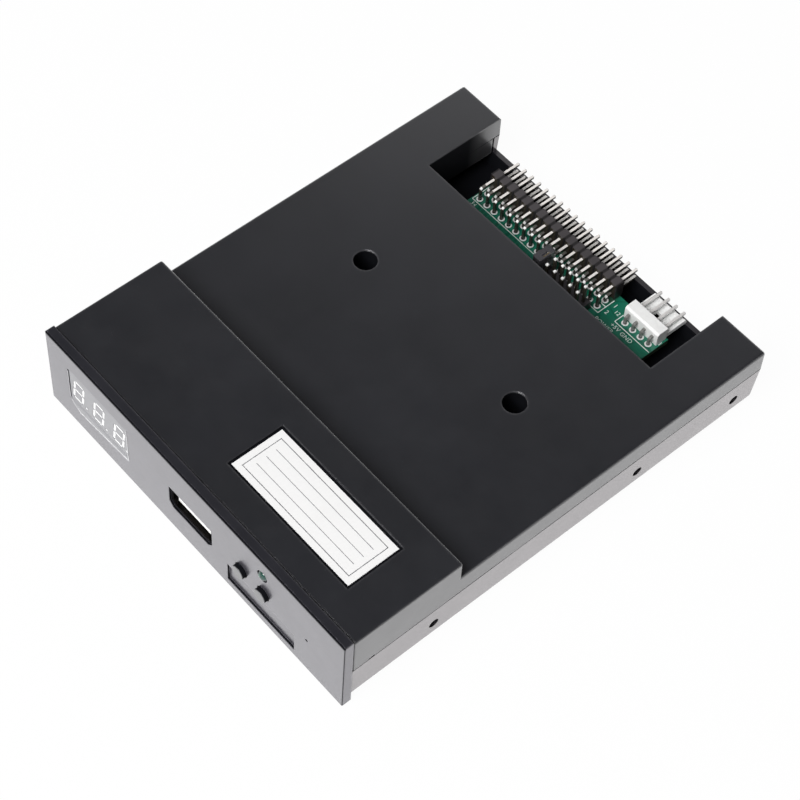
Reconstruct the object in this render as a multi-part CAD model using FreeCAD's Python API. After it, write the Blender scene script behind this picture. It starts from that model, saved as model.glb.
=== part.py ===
import FreeCAD, Part
import math
import os

# Floppy drive emulator in a 3.5-inch drive case.
# Lengths are in millimetres. While it is built, X runs to the right along the bezel,
# Y runs back from the bezel's front face and Z runs up from the bezel's lower edge.
# At the end every piece moves so that the origin is the middle of the footprint.

# Bezel
bezel_width = 101.6
bezel_height = 25.0
bezel_thickness = 2.4
bezel_corner_round = 0.35
bezel_front_round = 0.25

# Case
body_width = bezel_width
body_rear = 123.3
body_lift = 1.0
seam_height = 12.7
high_top = 24.2
low_top = 18.7
step_place = 32.0
case_wall = 1.6
cover_gap = 0.3
top_draft = 0.05
bottom_draft = 0.4
rear_top_draft = 0.1
rear_bottom_draft = 0.9
case_corner_round = 0.5
case_bottom_round = 2.0
high_edge_round = 0.4
low_edge_round = 0.6
cover_front_round = 0.2

# Connector bay cut out of the rear
wing_width = 13.4
bay_half_width = body_width / 2 - wing_width
bay_depth = 23.2
bay_front = body_rear - bay_depth
bay_sill_height = 7.5
bay_wall = 1.5
bay_curtain_bottom = 11.5
bay_wall_rear_gap = 0.15

# Lip that locates the cover in the bottom case
lip_thickness = 0.8
lip_depth = 1.5
lip_clearance = 0.1
lip_front = 10.0
lip_rear_gap = 4.1
lip_rear = bay_front - lip_rear_gap
lip_rise = 1.8

# Small notch beside the bezel where a blade lifts the cover
pry_notch_place = 7.7
pry_notch_width = 1.6
pry_notch_height = 0.4
pry_notch_depth = 0.8

# Screws that close the case
case_screw_x = 25.2
case_screw_ahead = 29.8
case_screw_y = bay_front - case_screw_ahead
well_radius = 2.85
well_wall = 1.2
well_floor = 1.6
screw_radius = 1.5
screw_clearance = 0.15
screw_head_radius = 2.6
screw_head_height = 1.9
screw_length = 6.5
screw_recess_width = 1.0
screw_recess_length = 3.2
screw_recess_depth = 1.0
screw_bite = 0.25
boss_radius = 3.5

# Mounting holes
mount_hole_radius = 1.3
side_hole_first = 25.3
side_hole_spacing = 60.0
side_hole_rear_inset = 7.6
side_hole_places = [side_hole_first, side_hole_first + side_hole_spacing,
                    body_rear - side_hole_rear_inset]
side_hole_height = 6.6
side_hole_depth = 5.0
side_boss_width = 6.4
side_boss_height = 6.4
side_boss_end = 1.2
bottom_hole_inset = 6.6
bottom_hole_x = body_width / 2 - bottom_hole_inset
bottom_hole_first = 38.0
bottom_hole_spacing = 60.0
bottom_hole_places = [bottom_hole_first, bottom_hole_first + bottom_hole_spacing]
bottom_hole_depth = 6.0
bottom_boss_radius = 3.2
bottom_pad_radius = 4.0

# Label on the high part of the cover
label_left = 1.3
label_width = 38.2
label_front = 10.4
label_depth = 13.8
label_margin = 0.6
label_recess = 0.3
label_thickness = 0.12

# Snap tabs that hold the bezel
tab_x = 38.0
tab_width = 10.0
tab_thickness = 1.2
tab_reach = 6.8
tab_clearance = 0.1
barb_height = 0.5
barb_length = 1.2
barb_setback = 0.8
barb_clearance = 0.15

# Main board
board_half_width = 29.8
board_front = 3.6
board_rear_inset = 8.1
board_rear = body_rear - board_rear_inset
board_thickness = 1.6
board_standoff = 3.8
board_corner_x = -19.5
board_corner_y = 10.6
peg_x = 25.0
peg_front = 20.0
peg_rear_inset = 21.2
peg_rear = board_rear - peg_rear_inset
peg_radius = 1.0
peg_clearance = 0.15
peg_top_gap = 0.2
post_radius = 2.4
hole_clearance = 0.18

# Display
window_x = -32.6
window_width = 21.4
window_height = 11.5
window_z = 13.25
display_clearance = 0.1
display_recess = 0.15
display_depth = 6.0
display_face_thickness = 0.3
display_face_margin = 0.25
digit_pitch = 7.3
digit_height = 7.4
digit_width = 4.0
digit_stroke = 0.8
digit_slant = 0.14
digit_gap = 0.12
digit_drop = -0.1
point_radius = 0.4
point_offset = 2.55
segment_clearance = 0.04
display_board_width = 23.2
display_board_height = 13.6
display_board_thickness = 1.2
display_board_drop = 0.9
display_pin_radius = 0.25
display_pin_pitch = 2.54
display_pin_rows = 7.6
display_pin_tail = 1.4
display_pin_seat = 0.6
frame_wall = 1.0
frame_depth = 2.0
slot_post_width = 1.5
slot_post_wall = 1.0
slot_post_top = 10.0
slot_depth = 0.6
slot_clearance = 0.05

# Display cable
wire_count = 6
wire_pitch = 1.1
wire_radius = 0.48
wire_x = -25.5
wire_height = 15.4
wire_bend = 3.0
cable_header_y = 15.6
cable_header_depth = 2.6
cable_header_height = 3.2
cable_header_margin = 0.9

# USB port
usb_width = 14.8
usb_height = 7.0
usb_corner = 1.4
usb_shell_gap = 0.2
usb_shell_bottom_gap = 0.1
usb_shell_front = 0.7
usb_shell_length = 13.8
usb_sheet = 0.3
usb_tongue_width = 11.1
usb_tongue_thickness = 1.9
usb_tongue_height = 2.3
usb_tongue_setback = 0.5
usb_base_depth = 3.5
usb_contact_pitches = [-3.5, -1.0, 1.0, 3.5]
usb_contact_width = 1.0
usb_contact_thickness = 0.2
usb_contact_setback = 0.7
usb_leg_y = 6.0
usb_leg_width = 1.4
leg_below_board = 1.2

# Push buttons and their switches
button_places = [17.3, 24.66]
button_height = 12.2
button_radius = 1.8
button_reach = 1.1
button_clearance = 0.2
button_travel = 0.25
button_front_round = 0.25
button_flange_radius = 2.3
button_flange_thickness = 0.6
button_nub_radius = 0.7
switch_width = 6.6
switch_front = 3.4
switch_depth = 3.5
switch_above_button = 3.2
switch_plate = 0.3
switch_plate_gap = 0.05
switch_bore_clearance = 0.08
switch_cavity_radius = 2.6
switch_cavity_depth = 1.9
switch_arm_length = 2.2
dome_radius = 2.2
dome_rise = 0.55
dome_thickness = 0.1
nub_clearance = 0.05
switch_pin_x = 2.25
switch_pin_width = 0.7
switch_pin_thickness = 0.4

# Activity light
led_x = 24.4
led_above_button = 6.75
led_radius = 1.5
led_clearance = 0.1
led_tip = 0.6
led_flange_place = 3.5
led_flange_radius = 1.9
led_flange_thickness = 1.0
led_collar_wall = 1.0
led_collar_clearance = 0.2
led_lead_radius = 0.25
led_lead_spacing = 2.54
led_lead_y = 10.6
led_lead_bend = 1.5

# Marks moulded in the bezel
pocket_left = 12.6
pocket_right = 35.0
pocket_bottom = 2.3
pocket_top = 8.6
pocket_depth = 0.6
pinhole_x = 38.95
pinhole_z = 12.05
pinhole_radius = 0.4

# Pin headers
pitch = 2.54
pin_width = 0.64
pin_tip = 0.2
header_center_x = -7.85
header_columns = 17
header_housing_height = 5.08
header_row_inset = 6.15
header_front_row_y = board_rear - header_row_inset
header_housing_setback = 4.25
header_housing_front = header_front_row_y + header_housing_setback
header_pin_length = 12.35
header_pin_rear = header_front_row_y + header_pin_length
header_bend = 1.0
segment_notch = 0.5
jumper_first_x = -2.03
jumper_columns = 6
jumper_row_ahead = 5.65
jumper_front_row_y = header_front_row_y - jumper_row_ahead
jumper_housing_height = 2.54
jumper_pin_top = 8.5
shunt_column = 0
shunt_width = 2.4
shunt_depth = 5.0
shunt_height = 6.4
shunt_lift = 0.06
shunt_clearance = 0.08
shunt_roof = 0.45
shunt_clip_thickness = 0.2
shunt_clip_depth = 3.3
shunt_clip_height = 5.0
shunt_slot_width = 0.8
shunt_slot_depth = 2.0
shunt_corner_round = 0.3

# Power connector
power_center_x = 23.94
power_positions = 4
power_block_width = 10.7
power_row_inset = 4.53
power_pin_front_y = board_rear - power_row_inset
power_block_setback = 1.03
power_block_front = power_pin_front_y + power_block_setback
power_block_depth = 3.2
power_block_height = 4.0
power_block_chamfer = 0.5
power_tongue_width = 10.1
power_tongue_length = 10.1
power_tongue_rear = power_block_front + power_tongue_length
power_tongue_thickness = 0.95
power_tongue_chamfer = 0.35
power_latch_x = -0.35
power_latch_setback = 5.9
power_latch_y = power_block_front + power_latch_setback
power_latch_size = 1.5
power_rib_width = 0.5
power_rib_height = 0.35
power_pin_height = 2.2
power_pin_reach = 0.5
power_pin_rear = power_tongue_rear + power_pin_reach

# Parts on the main board
controller_x = -6.0
controller_y = 46.0
controller_size = 10.0
controller_height = 1.4
controller_leads_per_side = 12
controller_lead_pitch = 0.8
buffer_places = [-17.0, 0.0]
buffer_ahead = 15.4
buffer_y = jumper_front_row_y - buffer_ahead
buffer_length = 8.65
buffer_width = 3.9
buffer_height = 1.5
buffer_leads_per_side = 7
buffer_lead_pitch = 1.27
lead_reach = 1.0
lead_thickness = 0.2
chip_standoff = 0.15
crystal_x = 10.5
crystal_y = 44.0
crystal_length = 11.0
crystal_width = 4.6
crystal_height = 3.5
regulator_x = 18.0
regulator_behind = 4.0
regulator_y = buffer_y + regulator_behind
regulator_length = 6.5
regulator_width = 3.5
regulator_height = 1.6
regulator_tab_width = 3.0
regulator_tab_length = 1.2
regulator_tab_thickness = 0.3
regulator_tab_root = 0.6
can_places = [12.5, 23.0]
can_ahead = 5.0
can_y = buffer_y - can_ahead
can_radius = 2.5
can_height = 5.2
can_base = 0.8
can_base_margin = 0.2
can_top_round = 0.4
small_part_length = 2.0
small_part_width = 1.25
small_part_height = 0.6
end_cap_length = 0.4
end_cap_rise = 0.05
resistor_first_x = -14.0
resistor_first_y = 58.0
resistor_spacing = 4.5
resistor_row_spacing = 4.0
resistor_columns = 4
resistor_rows = 3
capacitor_first_x = -16.0
capacitor_first_y = 30.0
capacitor_spacing = 6.0
capacitor_row_spacing = 6.0
capacitor_columns = 4
capacitor_rows = 2

# Heights that follow from the sizes above
case_floor = body_lift + case_wall
board_bottom = case_floor + board_standoff
board_top = board_bottom + board_thickness
tail_bottom = board_bottom - leg_below_board
body_front = bezel_thickness
cover_front = bezel_thickness + cover_gap
header_top = board_top + header_housing_height
header_lower_z = board_top + pitch / 2
header_upper_z = header_lower_z + pitch
header_left = header_center_x - header_columns * pitch / 2
jumper_top = board_top + jumper_housing_height
power_pin_z = board_top + power_pin_height
usb_bottom = board_top - usb_shell_bottom_gap
usb_shell_bottom = board_top
switch_top = button_height + switch_above_button
led_height = button_height + led_above_button
led_collar_radius = led_radius + led_clearance + led_collar_wall
led_collar_rear = led_flange_place - switch_plate_gap
display_front = display_recess
display_back = display_front + display_depth
display_board_bottom = window_z - display_board_height / 2 - display_board_drop
footprint_middle = (body_rear - button_reach) / 2


def box(x_low, x_high, y_low, y_high, z_low, z_high):
    corner = FreeCAD.Vector(x_low, y_low, z_low)
    return Part.makeBox(x_high - x_low, y_high - y_low, z_high - z_low, corner)


def centred_box(x, y, z_low, width, depth, height):
    return box(x - width / 2, x + width / 2, y - depth / 2, y + depth / 2, z_low, z_low + height)


def upright(x, y, z_low, z_high, radius):
    return Part.makeCylinder(radius, z_high - z_low, FreeCAD.Vector(x, y, z_low))


def along_y(x, z, y_low, y_high, radius):
    start = FreeCAD.Vector(x, y_low, z)
    return Part.makeCylinder(radius, y_high - y_low, start, FreeCAD.Vector(0, 1, 0))


def prism_along_y(outline, y_low, y_high):
    points = [FreeCAD.Vector(x, y_low, z) for x, z in outline]
    face = Part.Face(Part.makePolygon(points + points[:1]))
    return face.extrude(FreeCAD.Vector(0, y_high - y_low, 0))


def prism_along_x(outline, x_low, x_high):
    points = [FreeCAD.Vector(x_low, y, z) for y, z in outline]
    face = Part.Face(Part.makePolygon(points + points[:1]))
    return face.extrude(FreeCAD.Vector(x_high - x_low, 0, 0))


def joined(shapes):
    whole = shapes[0]
    for shape in shapes[1:]:
        whole = whole.fuse(shape)
    return whole.removeSplitter()


def cut_all(shape, tools):
    for tool in tools:
        shape = shape.cut(tool)
    return shape


def moved(shape, x=0, y=0, z=0):
    copy = shape.copy()
    copy.translate(FreeCAD.Vector(x, y, z))
    return copy


def rounded(shape, radius, chosen):
    edges = [edge for edge in shape.Edges if chosen(edge)]
    return shape.makeFillet(radius, edges)


def chamfered(shape, size, chosen):
    edges = [edge for edge in shape.Edges if chosen(edge)]
    return shape.makeChamfer(size, edges)


def runs_along(edge, axis):
    # A straight edge runs along an axis when its box is much longer that way than across it.
    extent = edge.BoundBox
    lengths = [extent.XLength, extent.YLength, extent.ZLength]
    across = [length for place, length in enumerate(lengths) if place != axis]
    return lengths[axis] > 3 * max(across) + 0.01


def near(value, target, margin=0.02):
    return abs(value - target) < margin


def tapered_block(front, low, high):
    # low and high each hold a height, a half width and a rear; all six faces are flat.
    corners = []
    for height, half_width, rear in (low, high):
        corners.append(FreeCAD.Vector(-half_width, front, height))
        corners.append(FreeCAD.Vector(half_width, front, height))
        corners.append(FreeCAD.Vector(half_width, rear, height))
        corners.append(FreeCAD.Vector(-half_width, rear, height))
    rings = [[3, 2, 1, 0], [4, 5, 6, 7]]
    for side in range(4):
        following = (side + 1) % 4
        rings.append([side, following, following + 4, side + 4])
    faces = []
    for ring in rings:
        points = [corners[place] for place in ring]
        faces.append(Part.Face(Part.makePolygon(points + points[:1])))
    return Part.makeSolid(Part.makeShell(faces))


def lower_half_width(z):
    share = (seam_height - z) / (seam_height - body_lift)
    return body_width / 2 - bottom_draft * share


def lower_rear(z):
    share = (seam_height - z) / (seam_height - body_lift)
    return body_rear - rear_bottom_draft * share


def upper_half_width(z):
    share = (z - seam_height) / (high_top - seam_height)
    return body_width / 2 - top_draft * share


def upper_rear(z):
    share = (z - seam_height) / (low_top - seam_height)
    return body_rear - rear_top_draft * share


def bent_wire(x, y_start, z_start, y_end, z_end, bend, radius):
    # A round wire that runs back along Y, turns down through a quarter circle and ends below.
    straight_end = FreeCAD.Vector(x, y_end - bend, z_start)
    turn_end = FreeCAD.Vector(x, y_end, z_start - bend)
    reach = bend * math.sin(math.pi / 4)
    turn_middle = FreeCAD.Vector(x, y_end - bend + reach, z_start - bend + reach)
    first = Part.LineSegment(FreeCAD.Vector(x, y_start, z_start), straight_end)
    turn = Part.Arc(straight_end, turn_middle, turn_end)
    last = Part.LineSegment(turn_end, FreeCAD.Vector(x, y_end, z_end))
    path = Part.Wire([first.toShape(), turn.toShape(), last.toShape()])
    circle = Part.Circle(FreeCAD.Vector(x, y_start, z_start), FreeCAD.Vector(0, 1, 0), radius)
    section = Part.Wire([circle.toShape()])
    return path.makePipeShell([section], True, False)


def bent_pin(x, y_tip, z_run, y_leg, z_end):
    # A square pin that runs forward from its rear tip and bends down into the board.
    half = pin_width / 2
    outline = [
        (y_leg - half, z_end),
        (y_leg + half, z_end),
        (y_leg + half, z_run - half),
        (y_tip, z_run - half),
        (y_tip, z_run + half),
        (y_leg - half, z_run + half),
    ]
    pin = prism_along_x(outline, x - half, x + half)

    def outer_corner(edge):
        middle = edge.CenterOfMass
        return near(middle.y, y_leg - half) and near(middle.z, z_run + half) and runs_along(edge, 0)

    pin = rounded(pin, min(header_bend, z_run - z_end - pin_width), outer_corner)

    def tip_edge(edge):
        return near(edge.BoundBox.YMin, y_tip) and near(edge.BoundBox.YMax, y_tip)

    return chamfered(pin, pin_tip, tip_edge)


def bezel():
    half = bezel_width / 2
    plate = box(-half, half, 0, bezel_thickness, 0, bezel_height)
    plate = rounded(plate, bezel_corner_round, lambda edge: runs_along(edge, 1))
    plate = rounded(plate, bezel_front_round, lambda edge: near(edge.BoundBox.YMax, 0))
    pieces = [plate]
    pieces.append(display_frame())
    pieces.append(along_y(led_x, led_height, bezel_thickness, led_collar_rear, led_collar_radius))
    for side in (-1, 1):
        pieces += bezel_tabs(side * tab_x)
    body = joined(pieces)
    through = bezel_thickness + frame_depth + 5
    half_window = window_width / 2
    low = window_z - window_height / 2
    tools = [box(window_x - half_window, window_x + half_window, -1, through, low, low + window_height)]
    tools.append(prism_along_y(usb_outline(0), -1, through))
    for x in button_places:
        tools.append(along_y(x, button_height, -1, through, button_radius + button_clearance))
    tools.append(along_y(led_x, led_height, -1, through, led_radius + led_clearance))
    tools.append(along_y(pinhole_x, pinhole_z, -1, through, pinhole_radius))
    tools.append(box(pocket_left, pocket_right, -1, pocket_depth, pocket_bottom, pocket_top))
    return cut_all(body, tools)


def display_frame():
    half_width = window_width / 2 + frame_wall
    half_height = window_height / 2 + frame_wall
    rear = bezel_thickness + frame_depth
    left = window_x - half_width
    right = window_x + half_width
    return box(left, right, bezel_thickness, rear, window_z - half_height, window_z + half_height)


def bezel_tabs(x):
    left = x - tab_width / 2
    right = x + tab_width / 2
    rear = bezel_thickness + tab_reach
    upper = high_top - case_wall - tab_clearance
    lower = case_floor + tab_clearance
    barb_rear = rear - barb_setback
    barb_front = barb_rear - barb_length
    pieces = [box(left, right, bezel_thickness, rear, upper - tab_thickness, upper)]
    pieces.append(box(left, right, bezel_thickness, rear, lower, lower + tab_thickness))
    upper_barb = [(barb_front, upper), (barb_rear, upper), (barb_front, upper + barb_height)]
    lower_barb = [(barb_front, lower), (barb_rear, lower), (barb_front, lower - barb_height)]
    pieces.append(prism_along_x(upper_barb, left, right))
    pieces.append(prism_along_x(lower_barb, left, right))
    return pieces


def barb_pocket(x, z_low, z_high):
    barb_rear = bezel_thickness + tab_reach - barb_setback
    barb_front = barb_rear - barb_length
    half = tab_width / 2 + barb_clearance
    return box(x - half, x + half, barb_front - barb_clearance, barb_rear + barb_clearance, z_low, z_high)


def usb_outline(inset):
    # The port's outline, with its two lower corners cut off; inset shrinks it evenly.
    half = usb_width / 2 - inset
    low = usb_bottom + inset
    high = usb_bottom + usb_height - inset
    corner = usb_corner - inset * (2 - math.sqrt(2))
    return [(-half, low + corner), (-half + corner, low), (half - corner, low), (half, low + corner),
            (half, high), (-half, high)]


def bottom_case():
    low = (body_lift, lower_half_width(body_lift), lower_rear(body_lift))
    high = (seam_height, lower_half_width(seam_height), lower_rear(seam_height))
    outer = tapered_block(body_front, low, high)

    def underside_edge(edge):
        extent = edge.BoundBox
        return near(extent.ZMax, body_lift) and extent.YMax > body_front + 1

    outer = rounded(outer, case_bottom_round, underside_edge)

    def rear_corner(edge):
        # The upright corner and the mitre below it, where two rounded edges meet.
        across = runs_along(edge, 0) or runs_along(edge, 1)
        return not across and edge.CenterOfMass.y > body_rear / 2

    outer = rounded(outer, case_corner_round, rear_corner)
    above = seam_height + 1
    inner_low = (case_floor, lower_half_width(case_floor) - case_wall, lower_rear(case_floor) - case_wall)
    inner_high = (above, lower_half_width(above) - case_wall, lower_rear(above) - case_wall)
    cavity = tapered_block(body_front - 1, inner_low, inner_high)
    shell = outer.cut(cavity)
    additions = case_bosses() + display_slot_posts()
    additions = [piece.common(outer) for piece in additions]
    body = joined([shell] + additions + bottom_pads())
    tools = [box(-bay_half_width, bay_half_width, bay_front, body_rear + 1, bay_sill_height, above)]
    tools += mount_holes()
    for x in (-case_screw_x, case_screw_x):
        tools.append(upright(x, case_screw_y, screw_tip_z() - 0.5, board_bottom + 1,
                             screw_radius - screw_bite))
    for x in (-tab_x, tab_x):
        tools.append(barb_pocket(x, case_floor - barb_height - barb_clearance, case_floor + 0.1))
    tools.append(display_slot())
    return cut_all(body, tools)


def case_bosses():
    pieces = []
    for x in (-case_screw_x, case_screw_x):
        pieces.append(upright(x, case_screw_y, case_floor - 0.5, board_bottom, boss_radius))
    for x in (-peg_x, peg_x):
        for y in (peg_front, peg_rear):
            pieces.append(upright(x, y, case_floor - 0.5, board_bottom, post_radius))
            pieces.append(upright(x, y, board_bottom - 0.5, board_top - peg_top_gap, peg_radius))
    inner = lower_half_width(side_hole_height) - side_hole_depth - side_boss_end
    for y in side_hole_places:
        for side in (-1, 1):
            ends = sorted([side * inner, side * body_width / 2])
            top = side_hole_height + side_boss_height / 2
            front = y - side_boss_width / 2
            pieces.append(box(ends[0], ends[1], front, front + side_boss_width, case_floor - 0.5, top))
    boss_top = bottom_hole_depth + 1
    for x in (-bottom_hole_x, bottom_hole_x):
        for y in bottom_hole_places:
            pieces.append(upright(x, y, case_floor - 0.5, boss_top, bottom_boss_radius))
    return pieces


def bottom_pads():
    pads = []
    for x in (-bottom_hole_x, bottom_hole_x):
        for y in bottom_hole_places:
            pads.append(upright(x, y, 0, body_lift + 0.1, bottom_pad_radius))
    return pads


def mount_holes():
    tools = []
    for y in side_hole_places:
        for side in (-1, 1):
            outside = FreeCAD.Vector(side * (body_width / 2 + 1), y, side_hole_height)
            length = body_width / 2 + 1 - lower_half_width(side_hole_height) + side_hole_depth
            direction = FreeCAD.Vector(-side, 0, 0)
            tools.append(Part.makeCylinder(mount_hole_radius, length, outside, direction))
    for x in (-bottom_hole_x, bottom_hole_x):
        for y in bottom_hole_places:
            tools.append(upright(x, y, -1, bottom_hole_depth, mount_hole_radius))
    return tools


def display_slot_posts():
    rear = display_back + display_board_thickness + slot_post_wall
    front = display_back - slot_post_wall
    pieces = []
    half = display_board_width / 2
    for side in (-1, 1):
        outside = window_x + side * (half + slot_post_width - slot_depth)
        inside = window_x + side * (half - slot_depth)
        ends = sorted([outside, inside])
        pieces.append(box(ends[0], ends[1], front, rear, case_floor - 0.5, slot_post_top))
    return pieces


def display_slot():
    half = display_board_width / 2 + slot_clearance
    rear = display_back + display_board_thickness + slot_clearance
    front = display_back - slot_clearance
    low = display_board_bottom - slot_clearance
    return box(window_x - half, window_x + half, front, rear, low, slot_post_top + 1)


def top_cover():
    low = (seam_height, upper_half_width(seam_height), upper_rear(seam_height))
    high = (high_top, upper_half_width(high_top), upper_rear(high_top))
    outer = tapered_block(cover_front, low, high)
    outer = outer.cut(box(-body_width, body_width, step_place, body_rear + 1, low_top, high_top + 1))

    def rear_corner(edge):
        middle = edge.CenterOfMass
        if not runs_along(edge, 2) or abs(middle.x) < body_width / 4:
            return False
        return middle.y > cover_front + 1

    outer = rounded(outer, case_corner_round, rear_corner)

    def high_edge(edge):
        extent = edge.BoundBox
        return near(extent.ZMin, high_top) and extent.YMax > cover_front + 1

    outer = rounded(outer, high_edge_round, high_edge)

    def low_edge(edge):
        extent = edge.BoundBox
        level = near(extent.ZMin, low_top) and near(extent.ZMax, low_top)
        return level and extent.YMax > step_place + case_wall

    outer = rounded(outer, low_edge_round, low_edge)

    def front_edge(edge):
        extent = edge.BoundBox
        middle = edge.CenterOfMass
        return near(extent.YMax, cover_front) and middle.z > seam_height + 1

    outer = rounded(outer, cover_front_round, front_edge)
    below = seam_height - 1
    ceiling = high_top - case_wall
    inner_low = (below, upper_half_width(below) - case_wall, upper_rear(below) - case_wall)
    inner_high = (ceiling, upper_half_width(ceiling) - case_wall, upper_rear(ceiling) - case_wall)
    cavity = tapered_block(cover_front - 1, inner_low, inner_high)
    low_roof = box(-body_width, body_width, step_place - case_wall, body_rear + 1,
                   low_top - case_wall, high_top)
    cavity = cavity.cut(low_roof)
    shell = outer.cut(cavity)
    bay = box(-bay_half_width, bay_half_width, bay_front, body_rear + 1, below, low_top + 1)
    pieces = [shell.cut(bay)] + bay_walls() + cover_lips() + screw_wells()
    body = joined(pieces)
    tools = []
    for x in (-case_screw_x, case_screw_x):
        tools.append(upright(x, case_screw_y, board_top + well_floor, low_top + 1, well_radius))
        tools.append(upright(x, case_screw_y, board_top - 1, low_top, screw_radius + screw_clearance))
    label_rear = label_front + label_depth
    label_right = label_left + label_width
    tools.append(box(label_left - label_margin, label_right + label_margin, label_front - label_margin,
                     label_rear + label_margin, high_top - label_recess, high_top + 1))
    for x in (-tab_x, tab_x):
        tools.append(barb_pocket(x, ceiling - 0.1, ceiling + barb_height + barb_clearance))
    collar_room = led_collar_radius + led_collar_clearance
    collar_room_rear = led_collar_rear + led_collar_clearance
    tools.append(along_y(led_x, led_height, cover_front - 1, collar_room_rear, collar_room))
    for side in (-1, 1):
        tools.append(centred_box(side * body_width / 2, pry_notch_place, seam_height - 1,
                                 2 * pry_notch_depth, pry_notch_width, pry_notch_height + 1))
    return cut_all(body, tools)


def bay_walls():
    roof = low_top - case_wall + 0.5
    wall_rear = upper_rear(seam_height) - case_wall
    pieces = []
    outside = bay_half_width + bay_wall
    pieces.append(box(-outside, outside, bay_front - bay_wall, bay_front, bay_curtain_bottom, roof))
    for side in (-1, 1):
        ends = sorted([side * bay_half_width, side * outside])
        front = bay_front - bay_wall
        pieces.append(box(ends[0], ends[1], front, wall_rear + 0.3, seam_height, roof))
        hanging_rear = lower_rear(bay_sill_height) - case_wall - bay_wall_rear_gap
        pieces.append(box(ends[0], ends[1], front, hanging_rear, bay_sill_height, seam_height))
    return pieces


def cover_lips():
    pieces = []
    outer_face = lower_half_width(seam_height - lip_depth) - case_wall - lip_clearance
    root_face = upper_half_width(seam_height + lip_rise) - case_wall + 0.2
    inner_face = outer_face - lip_thickness
    for side in (-1, 1):
        ends = sorted([side * inner_face, side * outer_face])
        pieces.append(box(ends[0], ends[1], lip_front, lip_rear, seam_height - lip_depth, seam_height))
        ends = sorted([side * inner_face, side * root_face])
        pieces.append(box(ends[0], ends[1], lip_front, lip_rear, seam_height, seam_height + lip_rise))
    return pieces


def screw_wells():
    outer = well_radius + well_wall
    roof = low_top - case_wall + 0.5
    return [upright(x, case_screw_y, board_top, roof, outer) for x in (-case_screw_x, case_screw_x)]


def screw_tip_z():
    return board_top + well_floor - screw_length


def case_screws():
    seat = board_top + well_floor
    screws = []
    for x in (-case_screw_x, case_screw_x):
        head = upright(x, case_screw_y, seat, seat + screw_head_height, screw_head_radius)
        head_top = seat + screw_head_height
        head = rounded(head, screw_head_height / 3, lambda edge: near(edge.BoundBox.ZMin, head_top))
        shank = upright(x, case_screw_y, board_bottom, seat, screw_radius)
        thread = upright(x, case_screw_y, screw_tip_z(), board_bottom, screw_radius - screw_bite)
        screw = joined([head, shank, thread])
        recess_bottom = head_top - screw_recess_depth
        recess = (x, case_screw_y, recess_bottom)
        above_head = 2 * screw_recess_depth
        long_slot = centred_box(*recess, screw_recess_length, screw_recess_width, above_head)
        cross_slot = centred_box(*recess, screw_recess_width, screw_recess_length, above_head)
        screws.append(cut_all(screw, [long_slot, cross_slot]))
    return Part.makeCompound(screws)


def paper_label():
    low = high_top - label_recess
    right = label_left + label_width
    return box(label_left, right, label_front, label_front + label_depth, low, low + label_thickness)


def header_columns_x():
    first = header_center_x - (header_columns - 1) * pitch / 2
    return [first + pitch * column for column in range(header_columns)]


def jumper_columns_x():
    return [jumper_first_x + pitch * column for column in range(jumper_columns)]


def power_pins_x():
    first = power_center_x - (power_positions - 1) * pitch / 2
    return [first + pitch * place for place in range(power_positions)]


def display_pins():
    pins = []
    for row in (-display_pin_rows / 2, display_pin_rows / 2):
        for column in range(6):
            x = window_x + (column - 2.5) * display_pin_pitch
            rear = display_back + display_board_thickness + display_pin_tail
            front = display_back - display_pin_seat
            pins.append(along_y(x, window_z + row, front, rear, display_pin_radius))
    return Part.makeCompound(pins)


def main_board():
    outline = [
        (-board_half_width, board_corner_y),
        (board_corner_x, board_corner_y),
        (board_corner_x, board_front),
        (board_half_width, board_front),
        (board_half_width, board_rear),
        (-board_half_width, board_rear),
    ]
    points = [FreeCAD.Vector(x, y, board_bottom) for x, y in outline]
    face = Part.Face(Part.makePolygon(points + points[:1]))
    board = face.extrude(FreeCAD.Vector(0, 0, board_thickness))
    tools = []
    pin_hole = pin_width / math.sqrt(2) + hole_clearance / 2
    for x in header_columns_x():
        for row in (0, 1):
            tools.append((x, header_front_row_y + row * pitch, pin_hole))
    for x in jumper_columns_x():
        for row in (0, 1):
            tools.append((x, jumper_front_row_y + row * pitch, pin_hole))
    for x in power_pins_x():
        tools.append((x, power_pin_front_y, pin_hole))
    for x in (-case_screw_x, case_screw_x):
        tools.append((x, case_screw_y, screw_radius + screw_clearance))
    for x in (-peg_x, peg_x):
        for y in (peg_front, peg_rear):
            tools.append((x, y, peg_radius + peg_clearance))
    for side in (-1, 1):
        tools.append((led_x + side * led_lead_spacing / 2, led_lead_y, led_lead_radius + hole_clearance))
    contact_leg = usb_contact_width / 2 + hole_clearance
    for x in usb_contact_pitches:
        tools.append((x, usb_contact_leg_y(), contact_leg))
    leg_x = usb_width / 2 - usb_shell_gap - usb_sheet / 2
    for side in (-1, 1):
        tools.append((side * leg_x, usb_leg_y, usb_leg_width / 2 + hole_clearance))
    for x in button_places:
        for side in (-1, 1):
            tools.append((x + side * switch_pin_x, switch_pin_y(), switch_pin_width / 2 + hole_clearance))
    holes = [upright(x, y, board_bottom - 1, board_top + 1, radius) for x, y, radius in tools]
    return cut_all(board, holes)


def segment_outline(length, stroke):
    # A bar with pointed ends, lying along the first axis and centred on the origin.
    half = length / 2
    thick = stroke / 2
    return [(-half, 0), (-half + thick, thick), (half - thick, thick), (half, 0),
            (half - thick, -thick), (-half + thick, -thick)]


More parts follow.
